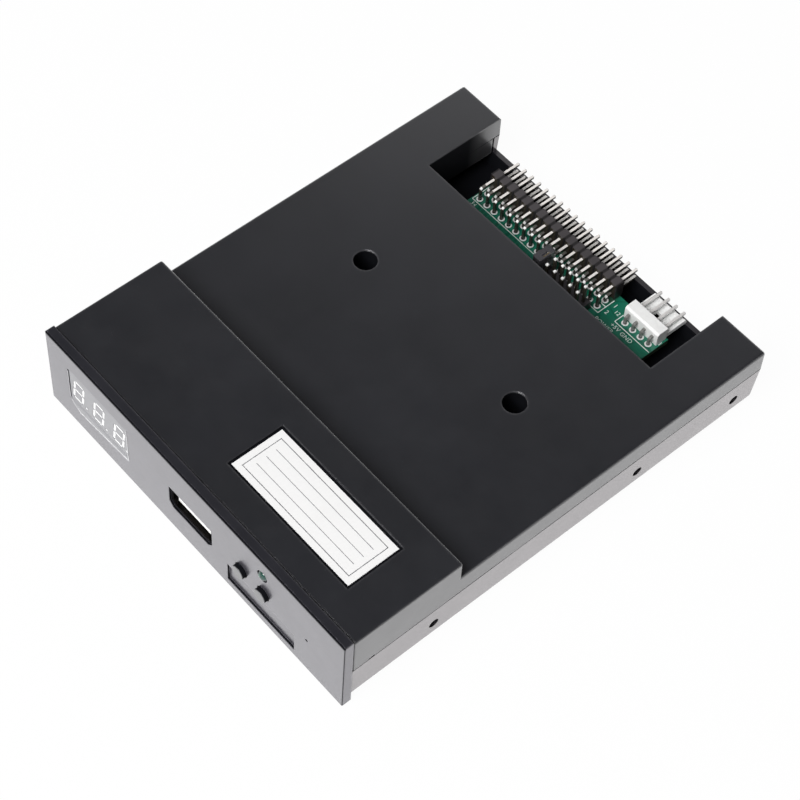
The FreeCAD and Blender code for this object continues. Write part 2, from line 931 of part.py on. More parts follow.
def digit_bars(x, z):
    # Seven bars: three lie across, four stand; every point leans with its height.
    span = digit_width - digit_stroke
    rise = (digit_height - digit_stroke) / 2
    bars = []
    for level in (-1, 0, 1):
        bar = segment_outline(span - digit_gap, digit_stroke)
        bars.append([(u, v + level * rise) for u, v in bar])
    for side in (-1, 1):
        for level in (-0.5, 0.5):
            bar = segment_outline(rise - digit_gap, digit_stroke)
            bars.append([(v + side * span / 2, u + level * rise) for u, v in bar])
    return [[(x + u + v * digit_slant, z + v) for u, v in bar] for bar in bars]


def display_shapes(inset):
    # The lit shapes of the three digits and their points, shrunk by the inset.
    rear = display_front + display_face_thickness
    middle = window_z + digit_drop
    solids = []
    for column in (-1, 0, 1):
        x = window_x + column * digit_pitch
        for outline in digit_bars(x, middle):
            wire = Part.makePolygon([FreeCAD.Vector(u, 0, v) for u, v in outline + outline[:1]])
            if inset > 0:
                wire = wire.makeOffset2D(-inset)
            bar = Part.Face(wire).extrude(FreeCAD.Vector(0, rear, 0))
            solids.append(bar)
        point_x = x + point_offset
        point_z = middle - digit_height / 2 + point_radius
        solids.append(along_y(point_x, point_z, 0, rear, point_radius - inset))
    return solids


def display_housing():
    half_width = window_width / 2 - display_clearance
    half_height = window_height / 2 - display_clearance
    front = display_front + display_face_thickness
    left = window_x - half_width
    right = window_x + half_width
    body = box(left, right, front, display_back, window_z - half_height, window_z + half_height)
    return cut_all(body, display_pins().Solids)


def display_face():
    half_width = window_width / 2 - display_clearance - display_face_margin
    half_height = window_height / 2 - display_clearance - display_face_margin
    rear = display_front + display_face_thickness
    left = window_x - half_width
    right = window_x + half_width
    plate = box(left, right, display_front, rear, window_z - half_height, window_z + half_height)
    return cut_all(plate, display_shapes(0))


def display_segments():
    front = box(-body_width, body_width, -1, display_front + 0.05, 0, bezel_height)
    return Part.makeCompound([shape.cut(front) for shape in display_shapes(segment_clearance)])


def display_board():
    half = display_board_width / 2
    rear = display_back + display_board_thickness
    top = display_board_bottom + display_board_height
    board = box(window_x - half, window_x + half, display_back, rear, display_board_bottom, top)
    tools = [pin for pin in display_pins().Solids]
    return cut_all(board, tools)


def wire_places():
    return [wire_x + (place - (wire_count - 1) / 2) * wire_pitch for place in range(wire_count)]


def display_wires():
    start = display_back + display_board_thickness
    end = board_top + cable_header_height
    wires = []
    for x in wire_places():
        wires.append(bent_wire(x, start, wire_height, cable_header_y, end, wire_bend, wire_radius))
    return Part.makeCompound(wires)


def cable_header():
    width = wire_count * wire_pitch + 2 * cable_header_margin
    return centred_box(wire_x, cable_header_y, board_top, width, cable_header_depth, cable_header_height)


def usb_shell():
    rear = usb_shell_front + usb_shell_length
    shell = prism_along_y(usb_shell_outline(0), usb_shell_front, rear)
    shell = shell.cut(prism_along_y(usb_shell_outline(usb_sheet), usb_shell_front - 1, rear + 1))
    leg_x = usb_width / 2 - usb_shell_gap
    legs = []
    for side in (-1, 1):
        ends = sorted([side * leg_x, side * (leg_x - usb_sheet)])
        top = usb_shell_bottom + usb_corner + 1
        front = usb_leg_y - usb_leg_width / 2
        legs.append(box(ends[0], ends[1], front, front + usb_leg_width, tail_bottom, top))
    return joined([shell] + legs)


def usb_shell_outline(inset):
    half = usb_width / 2 - usb_shell_gap - inset
    low = usb_shell_bottom + inset
    high = usb_bottom + usb_height - usb_shell_gap - inset
    corner = usb_corner - inset * (2 - math.sqrt(2))
    return [(-half, low + corner), (-half + corner, low), (half - corner, low), (half, low + corner),
            (half, high), (-half, high)]


def usb_contact_leg_y():
    return usb_shell_front + usb_shell_length + usb_contact_thickness / 2 + 0.1


def usb_contact_list():
    tongue_bottom = usb_shell_bottom + usb_tongue_height
    front = usb_shell_front + usb_tongue_setback + usb_contact_setback
    leg_rear = usb_contact_leg_y() + usb_contact_thickness / 2
    contacts = []
    for x in usb_contact_pitches:
        left = x - usb_contact_width / 2
        right = x + usb_contact_width / 2
        blade_bottom = tongue_bottom - usb_contact_thickness
        blade = box(left, right, front, leg_rear, blade_bottom, tongue_bottom)
        leg = box(left, right, leg_rear - usb_contact_thickness, leg_rear, tail_bottom, tongue_bottom)
        contacts.append(joined([blade, leg]))
    return contacts


def usb_contacts():
    return Part.makeCompound(usb_contact_list())


def usb_insulator():
    rear = usb_shell_front + usb_shell_length
    base = prism_along_y(usb_shell_outline(usb_sheet), rear - usb_base_depth, rear)
    low = usb_shell_bottom + usb_tongue_height
    half = usb_tongue_width / 2
    front = usb_shell_front + usb_tongue_setback
    tongue = box(-half, half, front, rear, low, low + usb_tongue_thickness)
    return cut_all(joined([base, tongue]), usb_contact_list())


def button(x):
    flange_front = switch_front + switch_plate + 2 * switch_plate_gap
    flange_rear = flange_front + button_flange_thickness
    nub_rear = dome_front() - button_travel - nub_clearance
    shaft = along_y(x, button_height, -button_reach, flange_rear, button_radius)
    shaft = rounded(shaft, button_front_round, lambda edge: near(edge.BoundBox.YMax, -button_reach))
    flange = along_y(x, button_height, flange_front, flange_rear, button_flange_radius)
    nub = along_y(x, button_height, flange_rear - 0.1, nub_rear, button_nub_radius)
    return joined([shaft, flange, nub])


def dome_front():
    return cavity_rear() - dome_rise


def cavity_rear():
    return switch_body_front() + switch_cavity_depth


def switch_body_front():
    return switch_front + switch_plate + switch_plate_gap


def switch_pin_y():
    return switch_front + switch_depth - 1.0


def switch_body(x):
    half = switch_width / 2
    rear = switch_front + switch_depth
    front = switch_body_front()
    body = box(x - half, x + half, front, rear, board_top, switch_top)
    return body.cut(along_y(x, button_height, front - 1, cavity_rear(), switch_cavity_radius))


def switch_frame(x):
    half = switch_width / 2
    rear = switch_front + switch_plate
    plate = box(x - half, x + half, switch_front, rear, board_top, switch_top)
    arms = [box(x - half, x + half, switch_front, rear + switch_arm_length,
                switch_top, switch_top + switch_plate)]
    plate = joined([plate] + arms)
    return plate.cut(along_y(x, button_height, -1, rear + 1, button_radius + switch_bore_clearance))


def switch_dome(x):
    rear = cavity_rear()
    radius = (dome_radius ** 2 + dome_rise ** 2) / (2 * dome_rise)
    centre = FreeCAD.Vector(x, rear - dome_rise + radius, button_height)
    cap = Part.makeSphere(radius, centre).cut(Part.makeSphere(radius - dome_thickness, centre))
    return cap.common(along_y(x, button_height, rear - dome_rise - 0.1, rear, dome_radius))


def switch_pins():
    pins = []
    for x in button_places:
        for side in (-1, 1):
            pin_x = x + side * switch_pin_x
            height = board_top - tail_bottom
            pins.append(centred_box(pin_x, switch_pin_y(), tail_bottom, switch_pin_width,
                                    switch_pin_thickness, height))
    return Part.makeCompound(pins)


def activity_led():
    flange_front = led_flange_place
    dome_centre = led_radius - led_tip
    barrel = along_y(led_x, led_height, dome_centre, flange_front, led_radius)
    dome = Part.makeSphere(led_radius, FreeCAD.Vector(led_x, dome_centre, led_height))
    flange_rear = flange_front + led_flange_thickness
    flange = along_y(led_x, led_height, flange_front, flange_rear, led_flange_radius)
    return joined([barrel, dome, flange])


def led_leads():
    start = led_flange_place + led_flange_thickness
    leads = []
    for side in (-1, 1):
        x = led_x + side * led_lead_spacing / 2
        leads.append(bent_wire(x, start, led_height, led_lead_y, tail_bottom, led_lead_bend, led_lead_radius))
    return Part.makeCompound(leads)


def header_pins(z_run, y_leg):
    first = header_columns_x()[0]
    pin = bent_pin(first, header_pin_rear, z_run, y_leg, tail_bottom)
    return Part.makeCompound([moved(pin, x=x - first) for x in header_columns_x()])


def header_upper_pins():
    return header_pins(header_upper_z, header_front_row_y)


def header_lower_pins():
    return header_pins(header_lower_z, header_front_row_y + pitch)


def v_groove(x, y, z_low, z_high, side):
    # A groove down a housing's face; side says whether it opens forward or back.
    points = [FreeCAD.Vector(x - segment_notch, y, z_low), FreeCAD.Vector(x + segment_notch, y, z_low),
              FreeCAD.Vector(x, y + side * segment_notch, z_low)]
    face = Part.Face(Part.makePolygon(points + points[:1]))
    return face.extrude(FreeCAD.Vector(0, 0, z_high - z_low))


def header_housing():
    width = header_columns * pitch
    front = header_housing_front
    rear = front + pitch
    body = box(header_left, header_left + width, front, rear, board_top, header_top)
    tools = []
    for column in range(1, header_columns):
        x = header_left + column * pitch
        tools.append(v_groove(x, front, board_top - 1, header_top + 1, 1))
        tools.append(v_groove(x, rear, board_top - 1, header_top + 1, -1))
    half = pin_width / 2
    for x in header_columns_x():
        for z in (header_lower_z, header_upper_z):
            tools.append(box(x - half, x + half, front - 1, rear + 1, z - half, z + half))
    return body.cut(Part.makeCompound(tools))


def jumper_housing():
    left = jumper_first_x - pitch / 2
    right = left + jumper_columns * pitch
    front = jumper_front_row_y - pitch / 2
    rear = front + 2 * pitch
    body = box(left, right, front, rear, board_top, jumper_top)
    tools = []
    for column in range(1, jumper_columns):
        x = left + column * pitch
        tools.append(v_groove(x, front, board_top - 1, jumper_top + 1, 1))
        tools.append(v_groove(x, rear, board_top - 1, jumper_top + 1, -1))
    for x in jumper_columns_x():
        for row in (0, 1):
            y = jumper_front_row_y + row * pitch
            tools.append(centred_box(x, y, board_top - 1, pin_width, pin_width, jumper_housing_height + 2))
    return body.cut(Part.makeCompound(tools))


def jumper_pins():
    top = board_top + jumper_pin_top
    pin = centred_box(0, 0, tail_bottom, pin_width, pin_width, top - tail_bottom)
    pin = chamfered(pin, pin_tip, lambda edge: near(edge.BoundBox.ZMin, top))
    pins = []
    for x in jumper_columns_x():
        for row in (0, 1):
            pins.append(moved(pin, x=x, y=jumper_front_row_y + row * pitch))
    return Part.makeCompound(pins)


def shunt_middle():
    return jumper_columns_x()[shunt_column], jumper_front_row_y + pitch / 2


def shunt_clip_box(margin):
    x, y = shunt_middle()
    left = x + pin_width / 2 + shunt_clearance
    low = jumper_top + shunt_lift + shunt_clip_offset()
    half_depth = shunt_clip_depth / 2 + margin
    return box(left - margin, left + shunt_clip_thickness + margin, y - half_depth, y + half_depth,
               low - margin, low + shunt_clip_height + margin)


def shunt_clip_offset():
    return shunt_height - shunt_roof - shunt_clip_height


def jumper_shunt():
    x, y = shunt_middle()
    low = jumper_top + shunt_lift
    body = centred_box(x, y, low, shunt_width, shunt_depth, shunt_height)
    body = rounded(body, shunt_corner_round, lambda edge: runs_along(edge, 2))
    tools = [shunt_clip_box(0)]
    clip = shunt_clip_box(0).BoundBox
    clip_x = (clip.XMin + clip.XMax) / 2
    tools.append(centred_box(clip_x, y, clip.ZMax, shunt_slot_width, shunt_slot_depth, 5))
    socket = pin_width + 2 * shunt_clearance
    depth = shunt_height - shunt_roof
    for row in (0, 1):
        row_y = jumper_front_row_y + row * pitch
        tools.append(centred_box(x, row_y, low - 1, socket, socket, depth + 1))
    return cut_all(body, tools)


def shunt_clip():
    return shunt_clip_box(0)


def power_housing():
    half = power_block_width / 2
    left = power_center_x - half
    right = power_center_x + half
    front = power_block_front
    rear = front + power_block_depth
    top = board_top + power_block_height
    block = box(left, right, front, rear, board_top, top)

    def upper_front(edge):
        middle = edge.CenterOfMass
        return near(middle.z, top) and near(middle.y, front)

    block = chamfered(block, power_block_chamfer, upper_front)
    tongue_half = power_tongue_width / 2
    tongue_top = board_top + power_tongue_thickness
    tongue = box(power_center_x - tongue_half, power_center_x + tongue_half, rear - 0.5,
                 power_tongue_rear, board_top, tongue_top)

    def upper_rear_edge(edge):
        middle = edge.CenterOfMass
        return near(middle.z, tongue_top) and near(middle.y, power_tongue_rear)

    tongue = chamfered(tongue, power_tongue_chamfer, upper_rear_edge)
    pieces = [block, tongue]
    for side in (-1, 1):
        rib_x = power_center_x + side * (tongue_half - power_rib_width / 2)
        rib_length = power_tongue_rear - power_tongue_chamfer - rear + 0.5
        rib_y = rear - 0.5 + rib_length / 2
        pieces.append(centred_box(rib_x, rib_y, tongue_top - 0.1, power_rib_width, rib_length,
                                  power_rib_height + 0.1))
    body = joined(pieces)
    tools = [centred_box(power_center_x + power_latch_x, power_latch_y, board_top - 1,
                         power_latch_size, power_latch_size, power_block_height + 2)]
    half_pin = pin_width / 2
    for x in power_pins_x():
        tools.append(box(x - half_pin, x + half_pin, front - 1, rear + 1, power_pin_z - half_pin,
                         power_pin_z + half_pin))
    return cut_all(body, tools)


def power_pins():
    first = power_pins_x()[0]
    pin = bent_pin(first, power_pin_rear, power_pin_z, power_pin_front_y, tail_bottom)
    return Part.makeCompound([moved(pin, x=x - first) for x in power_pins_x()])


def chip_body(x, y, length, width, height):
    low = board_top + chip_standoff
    body = centred_box(x, y, low, length, width, height - chip_standoff)
    return chamfered(body, height / 8, lambda edge: near(edge.BoundBox.ZMin, board_top + height))


def gull_lead(side_x, y, height, lead_width, side):
    # One lead that leaves a chip's side at mid height, drops and ends in a flat foot.
    middle = board_top + height / 2
    knee = side_x + side * lead_reach * 0.45
    toe = side_x + side * lead_reach
    runs = [(side_x, knee, middle, middle + lead_thickness)]
    runs.append((knee - side * lead_thickness, knee, board_top, middle + lead_thickness))
    runs.append((knee - side * lead_thickness, toe, board_top, board_top + lead_thickness))
    parts = []
    for start, end, low, high in runs:
        ends = sorted([start, end])
        parts.append(box(ends[0], ends[1], y - lead_width / 2, y + lead_width / 2, low, high))
    return joined(parts)


def lead_rows(x, y, across, height, count, spacing, lead_width):
    leads = []
    for side in (-1, 1):
        first = gull_lead(side * across / 2, 0, height, lead_width, side)
        for place in range(count):
            offset = (place - (count - 1) / 2) * spacing
            leads.append(moved(first, x=x, y=y + offset))
    return leads


def turned(shape, x, y):
    copy = shape.copy()
    copy.rotate(FreeCAD.Vector(x, y, 0), FreeCAD.Vector(0, 0, 1), 90)
    return copy


def microcontroller():
    return chip_body(controller_x, controller_y, controller_size, controller_size, controller_height)


def microcontroller_leads():
    rows = lead_rows(controller_x, controller_y, controller_size, controller_height,
                     controller_leads_per_side, controller_lead_pitch, controller_lead_pitch * 0.4)
    rows += [turned(lead, controller_x, controller_y) for lead in rows]
    return Part.makeCompound(rows)


def buffer_chips():
    chips = [chip_body(x, buffer_y, buffer_length, buffer_width, buffer_height) for x in buffer_places]
    return Part.makeCompound(chips)


def buffer_leads():
    leads = []
    for x in buffer_places:
        rows = lead_rows(x, buffer_y, buffer_width, buffer_height, buffer_leads_per_side,
                         buffer_lead_pitch, buffer_lead_pitch * 0.33)
        leads += [turned(lead, x, buffer_y) for lead in rows]
    return Part.makeCompound(leads)


def crystal():
    end = crystal_width / 2
    straight = crystal_length - crystal_width
    can = centred_box(crystal_x, crystal_y, board_top, straight, crystal_width, crystal_height)
    ends = []
    for side in (-1, 1):
        end_x = crystal_x + side * straight / 2
        ends.append(upright(end_x, crystal_y, board_top, board_top + crystal_height, end))
    can = joined([can] + ends)
    top = board_top + crystal_height
    return rounded(can, 0.5, lambda edge: near(edge.BoundBox.ZMin, top))


def voltage_regulator():
    body = chip_body(regulator_x, regulator_y, regulator_length, regulator_width, regulator_height)
    low = board_top
    rear = regulator_y + regulator_width / 2
    root = centred_box(regulator_x, rear, low, regulator_tab_width, regulator_tab_root,
                       2 * regulator_tab_thickness)
    tab = centred_box(regulator_x, rear + regulator_tab_length / 2, low, regulator_tab_width,
                      regulator_tab_length, regulator_tab_thickness)
    return joined([body, root, tab])


def can_capacitors():
    cans = []
    for x in can_places:
        base_width = 2 * (can_radius + can_base_margin)
        base = centred_box(x, can_y, board_top, base_width, base_width, can_base)
        top = board_top + can_height
        can = upright(x, can_y, board_top + can_base, top, can_radius)
        can = rounded(can, can_top_round, lambda edge: near(edge.BoundBox.ZMin, top))
        cans.append(joined([base, can]))
    return Part.makeCompound(cans)


def small_parts(first_x, first_y, spacing, row_spacing, columns, rows):
    # Small surface-mounted blocks, each with a raised metal cap at either end.
    parts = []
    for column in range(columns):
        for row in range(rows):
            x = first_x + column * spacing
            y = first_y + row * row_spacing
            body = centred_box(x, y, board_top, small_part_length, small_part_width, small_part_height)
            caps = []
            for side in (-1, 1):
                cap_x = x + side * (small_part_length - end_cap_length) / 2
                caps.append(centred_box(cap_x, y, board_top, end_cap_length, small_part_width,
                                        small_part_height + end_cap_rise))
            parts.append(joined([body] + caps))
    return Part.makeCompound(parts)


def chip_resistors():
    return small_parts(resistor_first_x, resistor_first_y, resistor_spacing, resistor_row_spacing,
                       resistor_columns, resistor_rows)


def chip_capacitors():
    return small_parts(capacitor_first_x, capacitor_first_y, capacitor_spacing, capacitor_row_spacing,
                       capacitor_columns, capacitor_rows)


NODES = {
    "front_bezel": bezel,
    "top_cover": top_cover,
    "bottom_case": bottom_case,
    "paper_label": paper_label,
    "case_screws": case_screws,
    "main_board": main_board,
    "display_housing": display_housing,
    "display_face": display_face,
    "display_segments": display_segments,
    "display_pins": display_pins,
    "display_board": display_board,
    "display_wires": display_wires,
    "cable_header": cable_header,
    "usb_shell": usb_shell,
    "usb_insulator": usb_insulator,
    "usb_contacts": usb_contacts,
    "left_button": lambda: button(button_places[0]),
    "right_button": lambda: button(button_places[1]),
    "left_switch_body": lambda: switch_body(button_places[0]),
    "right_switch_body": lambda: switch_body(button_places[1]),
    "left_switch_frame": lambda: switch_frame(button_places[0]),
    "right_switch_frame": lambda: switch_frame(button_places[1]),
    "left_switch_dome": lambda: switch_dome(button_places[0]),
    "right_switch_dome": lambda: switch_dome(button_places[1]),
    "switch_pins": switch_pins,
    "activity_led": activity_led,
    "led_leads": led_leads,
    "drive_header_housing": header_housing,
    "drive_header_upper_pins": header_upper_pins,
    "drive_header_lower_pins": header_lower_pins,
    "jumper_housing": jumper_housing,
    "jumper_pins": jumper_pins,
    "jumper_shunt": jumper_shunt,
    "shunt_clip": shunt_clip,
    "power_connector_housing": power_housing,
    "power_connector_pins": power_pins,
    "microcontroller": microcontroller,
    "microcontroller_leads": microcontroller_leads,
    "buffer_chips": buffer_chips,
    "buffer_leads": buffer_leads,
    "crystal": crystal,
    "voltage_regulator": voltage_regulator,
    "can_capacitors": can_capacitors,
    "chip_resistors": chip_resistors,
    "chip_capacitors": chip_capacitors,
}


os.makedirs("parts", exist_ok=True)
for name, make in NODES.items():
    shape = moved(make(), y=-footprint_middle)
    shape.exportStep("parts/" + name + ".step")
    print(name, len(shape.Solids), "solids", round(shape.Volume, 2), "mm3", shape.isValid())
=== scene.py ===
import math

import bmesh
import bpy
from mathutils import Matrix, Vector


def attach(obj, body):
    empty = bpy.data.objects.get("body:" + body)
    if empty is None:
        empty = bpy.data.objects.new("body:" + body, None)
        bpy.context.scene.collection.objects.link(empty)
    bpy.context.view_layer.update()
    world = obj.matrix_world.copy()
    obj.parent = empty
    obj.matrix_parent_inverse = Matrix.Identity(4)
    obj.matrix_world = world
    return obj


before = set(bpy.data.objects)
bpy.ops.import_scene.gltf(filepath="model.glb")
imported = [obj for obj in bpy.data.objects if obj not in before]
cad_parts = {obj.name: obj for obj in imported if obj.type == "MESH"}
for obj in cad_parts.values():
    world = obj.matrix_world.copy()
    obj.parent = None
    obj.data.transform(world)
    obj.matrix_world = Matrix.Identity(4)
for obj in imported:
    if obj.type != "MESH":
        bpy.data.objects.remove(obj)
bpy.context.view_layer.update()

# Floppy drive emulator: materials for the CAD pieces, small printed and soldered detail,
# a pale floor, soft light and the photograph's camera.

# The case is measured in millimetres from the bezel: x across, y back from the bezel's
# face, z up. MIDDLE is how far back the middle of the footprint lies.
MM = 0.001
MIDDLE = 61.1
BOARD_TOP = 8.0
CASE_SEAM = 12.7
LABEL_TOP = 24.02
PITCH = 2.54
HEADER_FIRST = -28.17
HEADER_COLUMNS = [HEADER_FIRST + PITCH * place for place in range(17)]
HEADER_PADS_FRONT = 109.05
POWER_FIRST = 20.13
POWER_COLUMNS = [POWER_FIRST + PITCH * place for place in range(4)]
POWER_PADS = 110.67

# How far print, traces and the label's lines stand up from what carries them.
PRINT_THICK = 0.045
LETTER_THICK = 0.044
TRACE_THICK = 0.03
RULING_THICK = 0.004


def at(x, y, z):
    """A point of the case, in metres in the frame."""
    return Vector((x, y - MIDDLE, z)) * MM


# Shader building

class Graph:
    """The nodes of a material or a world, emptied and built up from its output."""

    def __init__(self, owner, output):
        owner.use_nodes = True
        self.tree = owner.node_tree
        self.tree.nodes.clear()
        self.output = self.add(output)

    def add(self, kind, **settings):
        node = self.tree.nodes.new(kind)
        for key, value in settings.items():
            setattr(node, key, value)
        return node

    def link(self, source, target):
        self.tree.links.new(source, target)

    def split(self, vector):
        """The vector's X, Y and Z."""
        node = self.add("ShaderNodeSeparateXYZ")
        self.link(vector, node.inputs[0])
        return node.outputs

    def math(self, operation, first, second=0.0):
        node = self.add("ShaderNodeMath", operation=operation)
        for socket, value in zip(node.inputs, (first, second)):
            if isinstance(value, (int, float)):
                socket.default_value = value
            else:
                self.link(value, socket)
        return node.outputs[0]

    def show(self, first, second, factor):
        """Ends in the first shader where the factor is 0 and in the second where it is 1."""
        node = self.add("ShaderNodeMixShader")
        for socket, source in zip(node.inputs, (factor, first.outputs[0], second.outputs[0])):
            self.link(source, socket)
        self.link(node.outputs[0], self.output.inputs[0])


class Surface(Graph):
    """One procedural material; positions are in metres in the object's own space."""

    def __init__(self, name):
        self.material = bpy.data.materials.new(name)
        super().__init__(self.material, "ShaderNodeOutputMaterial")
        self.shader = self.add("ShaderNodeBsdfPrincipled")
        self.link(self.shader.outputs[0], self.output.inputs[0])
        self.place = self.add("ShaderNodeTexCoord").outputs["Object"]

    def set(self, **sockets):
        for key, value in sockets.items():
            self.shader.inputs[key.replace("_", " ")].default_value = value
        return self

    def stretched(self, scale):
        node = self.add("ShaderNodeMapping")
        node.inputs["Scale"].default_value = scale
        self.link(self.place, node.inputs["Vector"])
        return node.outputs[0]

    def noise(self, scale, detail=4.0, rough=0.55, where=None, offset=0.0):
        """Clouds from 0 to 1; each offset gives other clouds."""
        node = self.add("ShaderNodeTexNoise")
        node.noise_dimensions = "4D"
        node.inputs["W"].default_value = offset
        node.inputs["Scale"].default_value = scale
        node.inputs["Detail"].default_value = detail
        node.inputs["Roughness"].default_value = rough
        self.link(where or self.place, node.inputs["Vector"])
        return node.outputs["Fac"]

    def cells(self, scale, feature="F1"):
        node = self.add("ShaderNodeTexVoronoi", feature=feature)
        node.inputs["Scale"].default_value = scale
        self.link(self.place, node.inputs["Vector"])
        return node.outputs["Distance"]

    def waves(self, scale, distortion, way):
        node = self.add("ShaderNodeTexWave", bands_direction=way)
        node.inputs["Scale"].default_value = scale
        node.inputs["Distortion"].default_value = distortion
        self.link(self.place, node.inputs["Vector"])
        return node.outputs["Fac"]

    def span(self, value, low, high, to_low=0.0, to_high=1.0):
        node = self.add("ShaderNodeMapRange", clamp=True)
        for socket, number in zip(("From Min", "From Max", "To Min", "To Max"),
                                  (low, high, to_low, to_high)):
            node.inputs[socket].default_value = number
        self.link(value, node.inputs["Value"])
        return node.outputs[0]

    def mix(self, first, second, factor):
        """Two colours mixed, the first where the factor is 0 and the second where it is 1."""
        node = self.add("ShaderNodeMix", data_type="RGBA")
        colour_a, colour_b, result = node.inputs[6], node.inputs[7], node.outputs[2]
        for socket, value in ((colour_a, first), (colour_b, second)):
            if isinstance(value, tuple):
                socket.default_value = value + (1.0,)
            else:
                self.link(value, socket)
        self.link(factor, node.inputs[0])
        return result

    def within(self, low, high, fade):
        """1 inside a box given by two corners in metres, 0 outside it, soft over the fade."""
        along = self.split(self.place)
        mask = None
        for axis in range(3):
            enter = self.span(along[axis], low[axis] - fade[axis], low[axis])
            leave = self.span(along[axis], high[axis], high[axis] + fade[axis], 1.0, 0.0)
            both = self.math("MULTIPLY", enter, leave)
            mask = both if mask is None else self.math("MULTIPLY", mask, both)
        return mask

    def facing(self, axis):
        """How far the surface faces along +X, +Y or +Z (axis 0, 1 or 2), from -1 to 1."""
        return self.split(self.add("ShaderNodeNewGeometry").outputs["Normal"])[axis]

    def facing_up(self):
        """1 where the surface faces up, 0 where it is upright or faces down."""
        return self.span(self.facing(2), 0.25, 0.8)

    def hairline(self, height):
        """1 along a level line of uneven width, for a painted shadow line where two mouldings don't
        quite close.
        """
        above = self.math("SUBTRACT", self.split(self.place)[2], height * MM)
        width = self.span(self.noise(28, 2, offset=9.0), 0.36, 0.56, 0.00002, 0.00017)
        return self.math("LESS_THAN", self.math("ABSOLUTE", above), width)

    def between_ways(self, first, pitch, share):
        """1 near the joints of a row of equal blocks that starts at the first x, in metres.

        It is 0 further from a joint than the share of a block."""
        start = first - 40 * pitch    # left of the whole object, so no remainder is negative
        along = self.math("DIVIDE", self.math("SUBTRACT", self.split(self.place)[0], start), pitch)
        off_centre = self.math("SUBTRACT", self.math("MODULO", along, 1.0), 0.5)
        return self.span(self.math("ABSOLUTE", off_centre), 0.5 - share, 0.5 - share / 2)

    def bump(self, height, distance, strength, normal=None):
        node = self.add("ShaderNodeBump")
        node.inputs["Strength"].default_value = strength
        node.inputs["Distance"].default_value = distance
        self.link(height, node.inputs["Height"])
        if normal is not None:
            self.link(normal, node.inputs["Normal"])
        return node.outputs[0]

    def soft_edges(self, radius, samples=4):
        """The normal rounded over sharp edges, and how strongly each point is on an edge."""
        bevel = self.add("ShaderNodeBevel", samples=samples)
        bevel.inputs["Radius"].default_value = radius
        shape = self.add("ShaderNodeNewGeometry")
        dot = self.add("ShaderNodeVectorMath", operation="DOT_PRODUCT")
        self.link(bevel.outputs[0], dot.inputs[0])
        self.link(shape.outputs["Normal"], dot.inputs[1])
        return bevel.outputs[0], self.span(dot.outputs["Value"], 0.995, 0.86)

    def finish(self, colour, rough, normal):
        for name, value in (("Base Color", colour), ("Roughness", rough), ("Normal", normal)):
            self.link(value, self.shader.inputs[name])
        return self.material


def shade(colour, factor):
    return tuple(min(1.0, part * factor) for part in colour)


DUST = (0.32, 0.32, 0.33)
GLINT = (0.97, 0.97, 0.95)


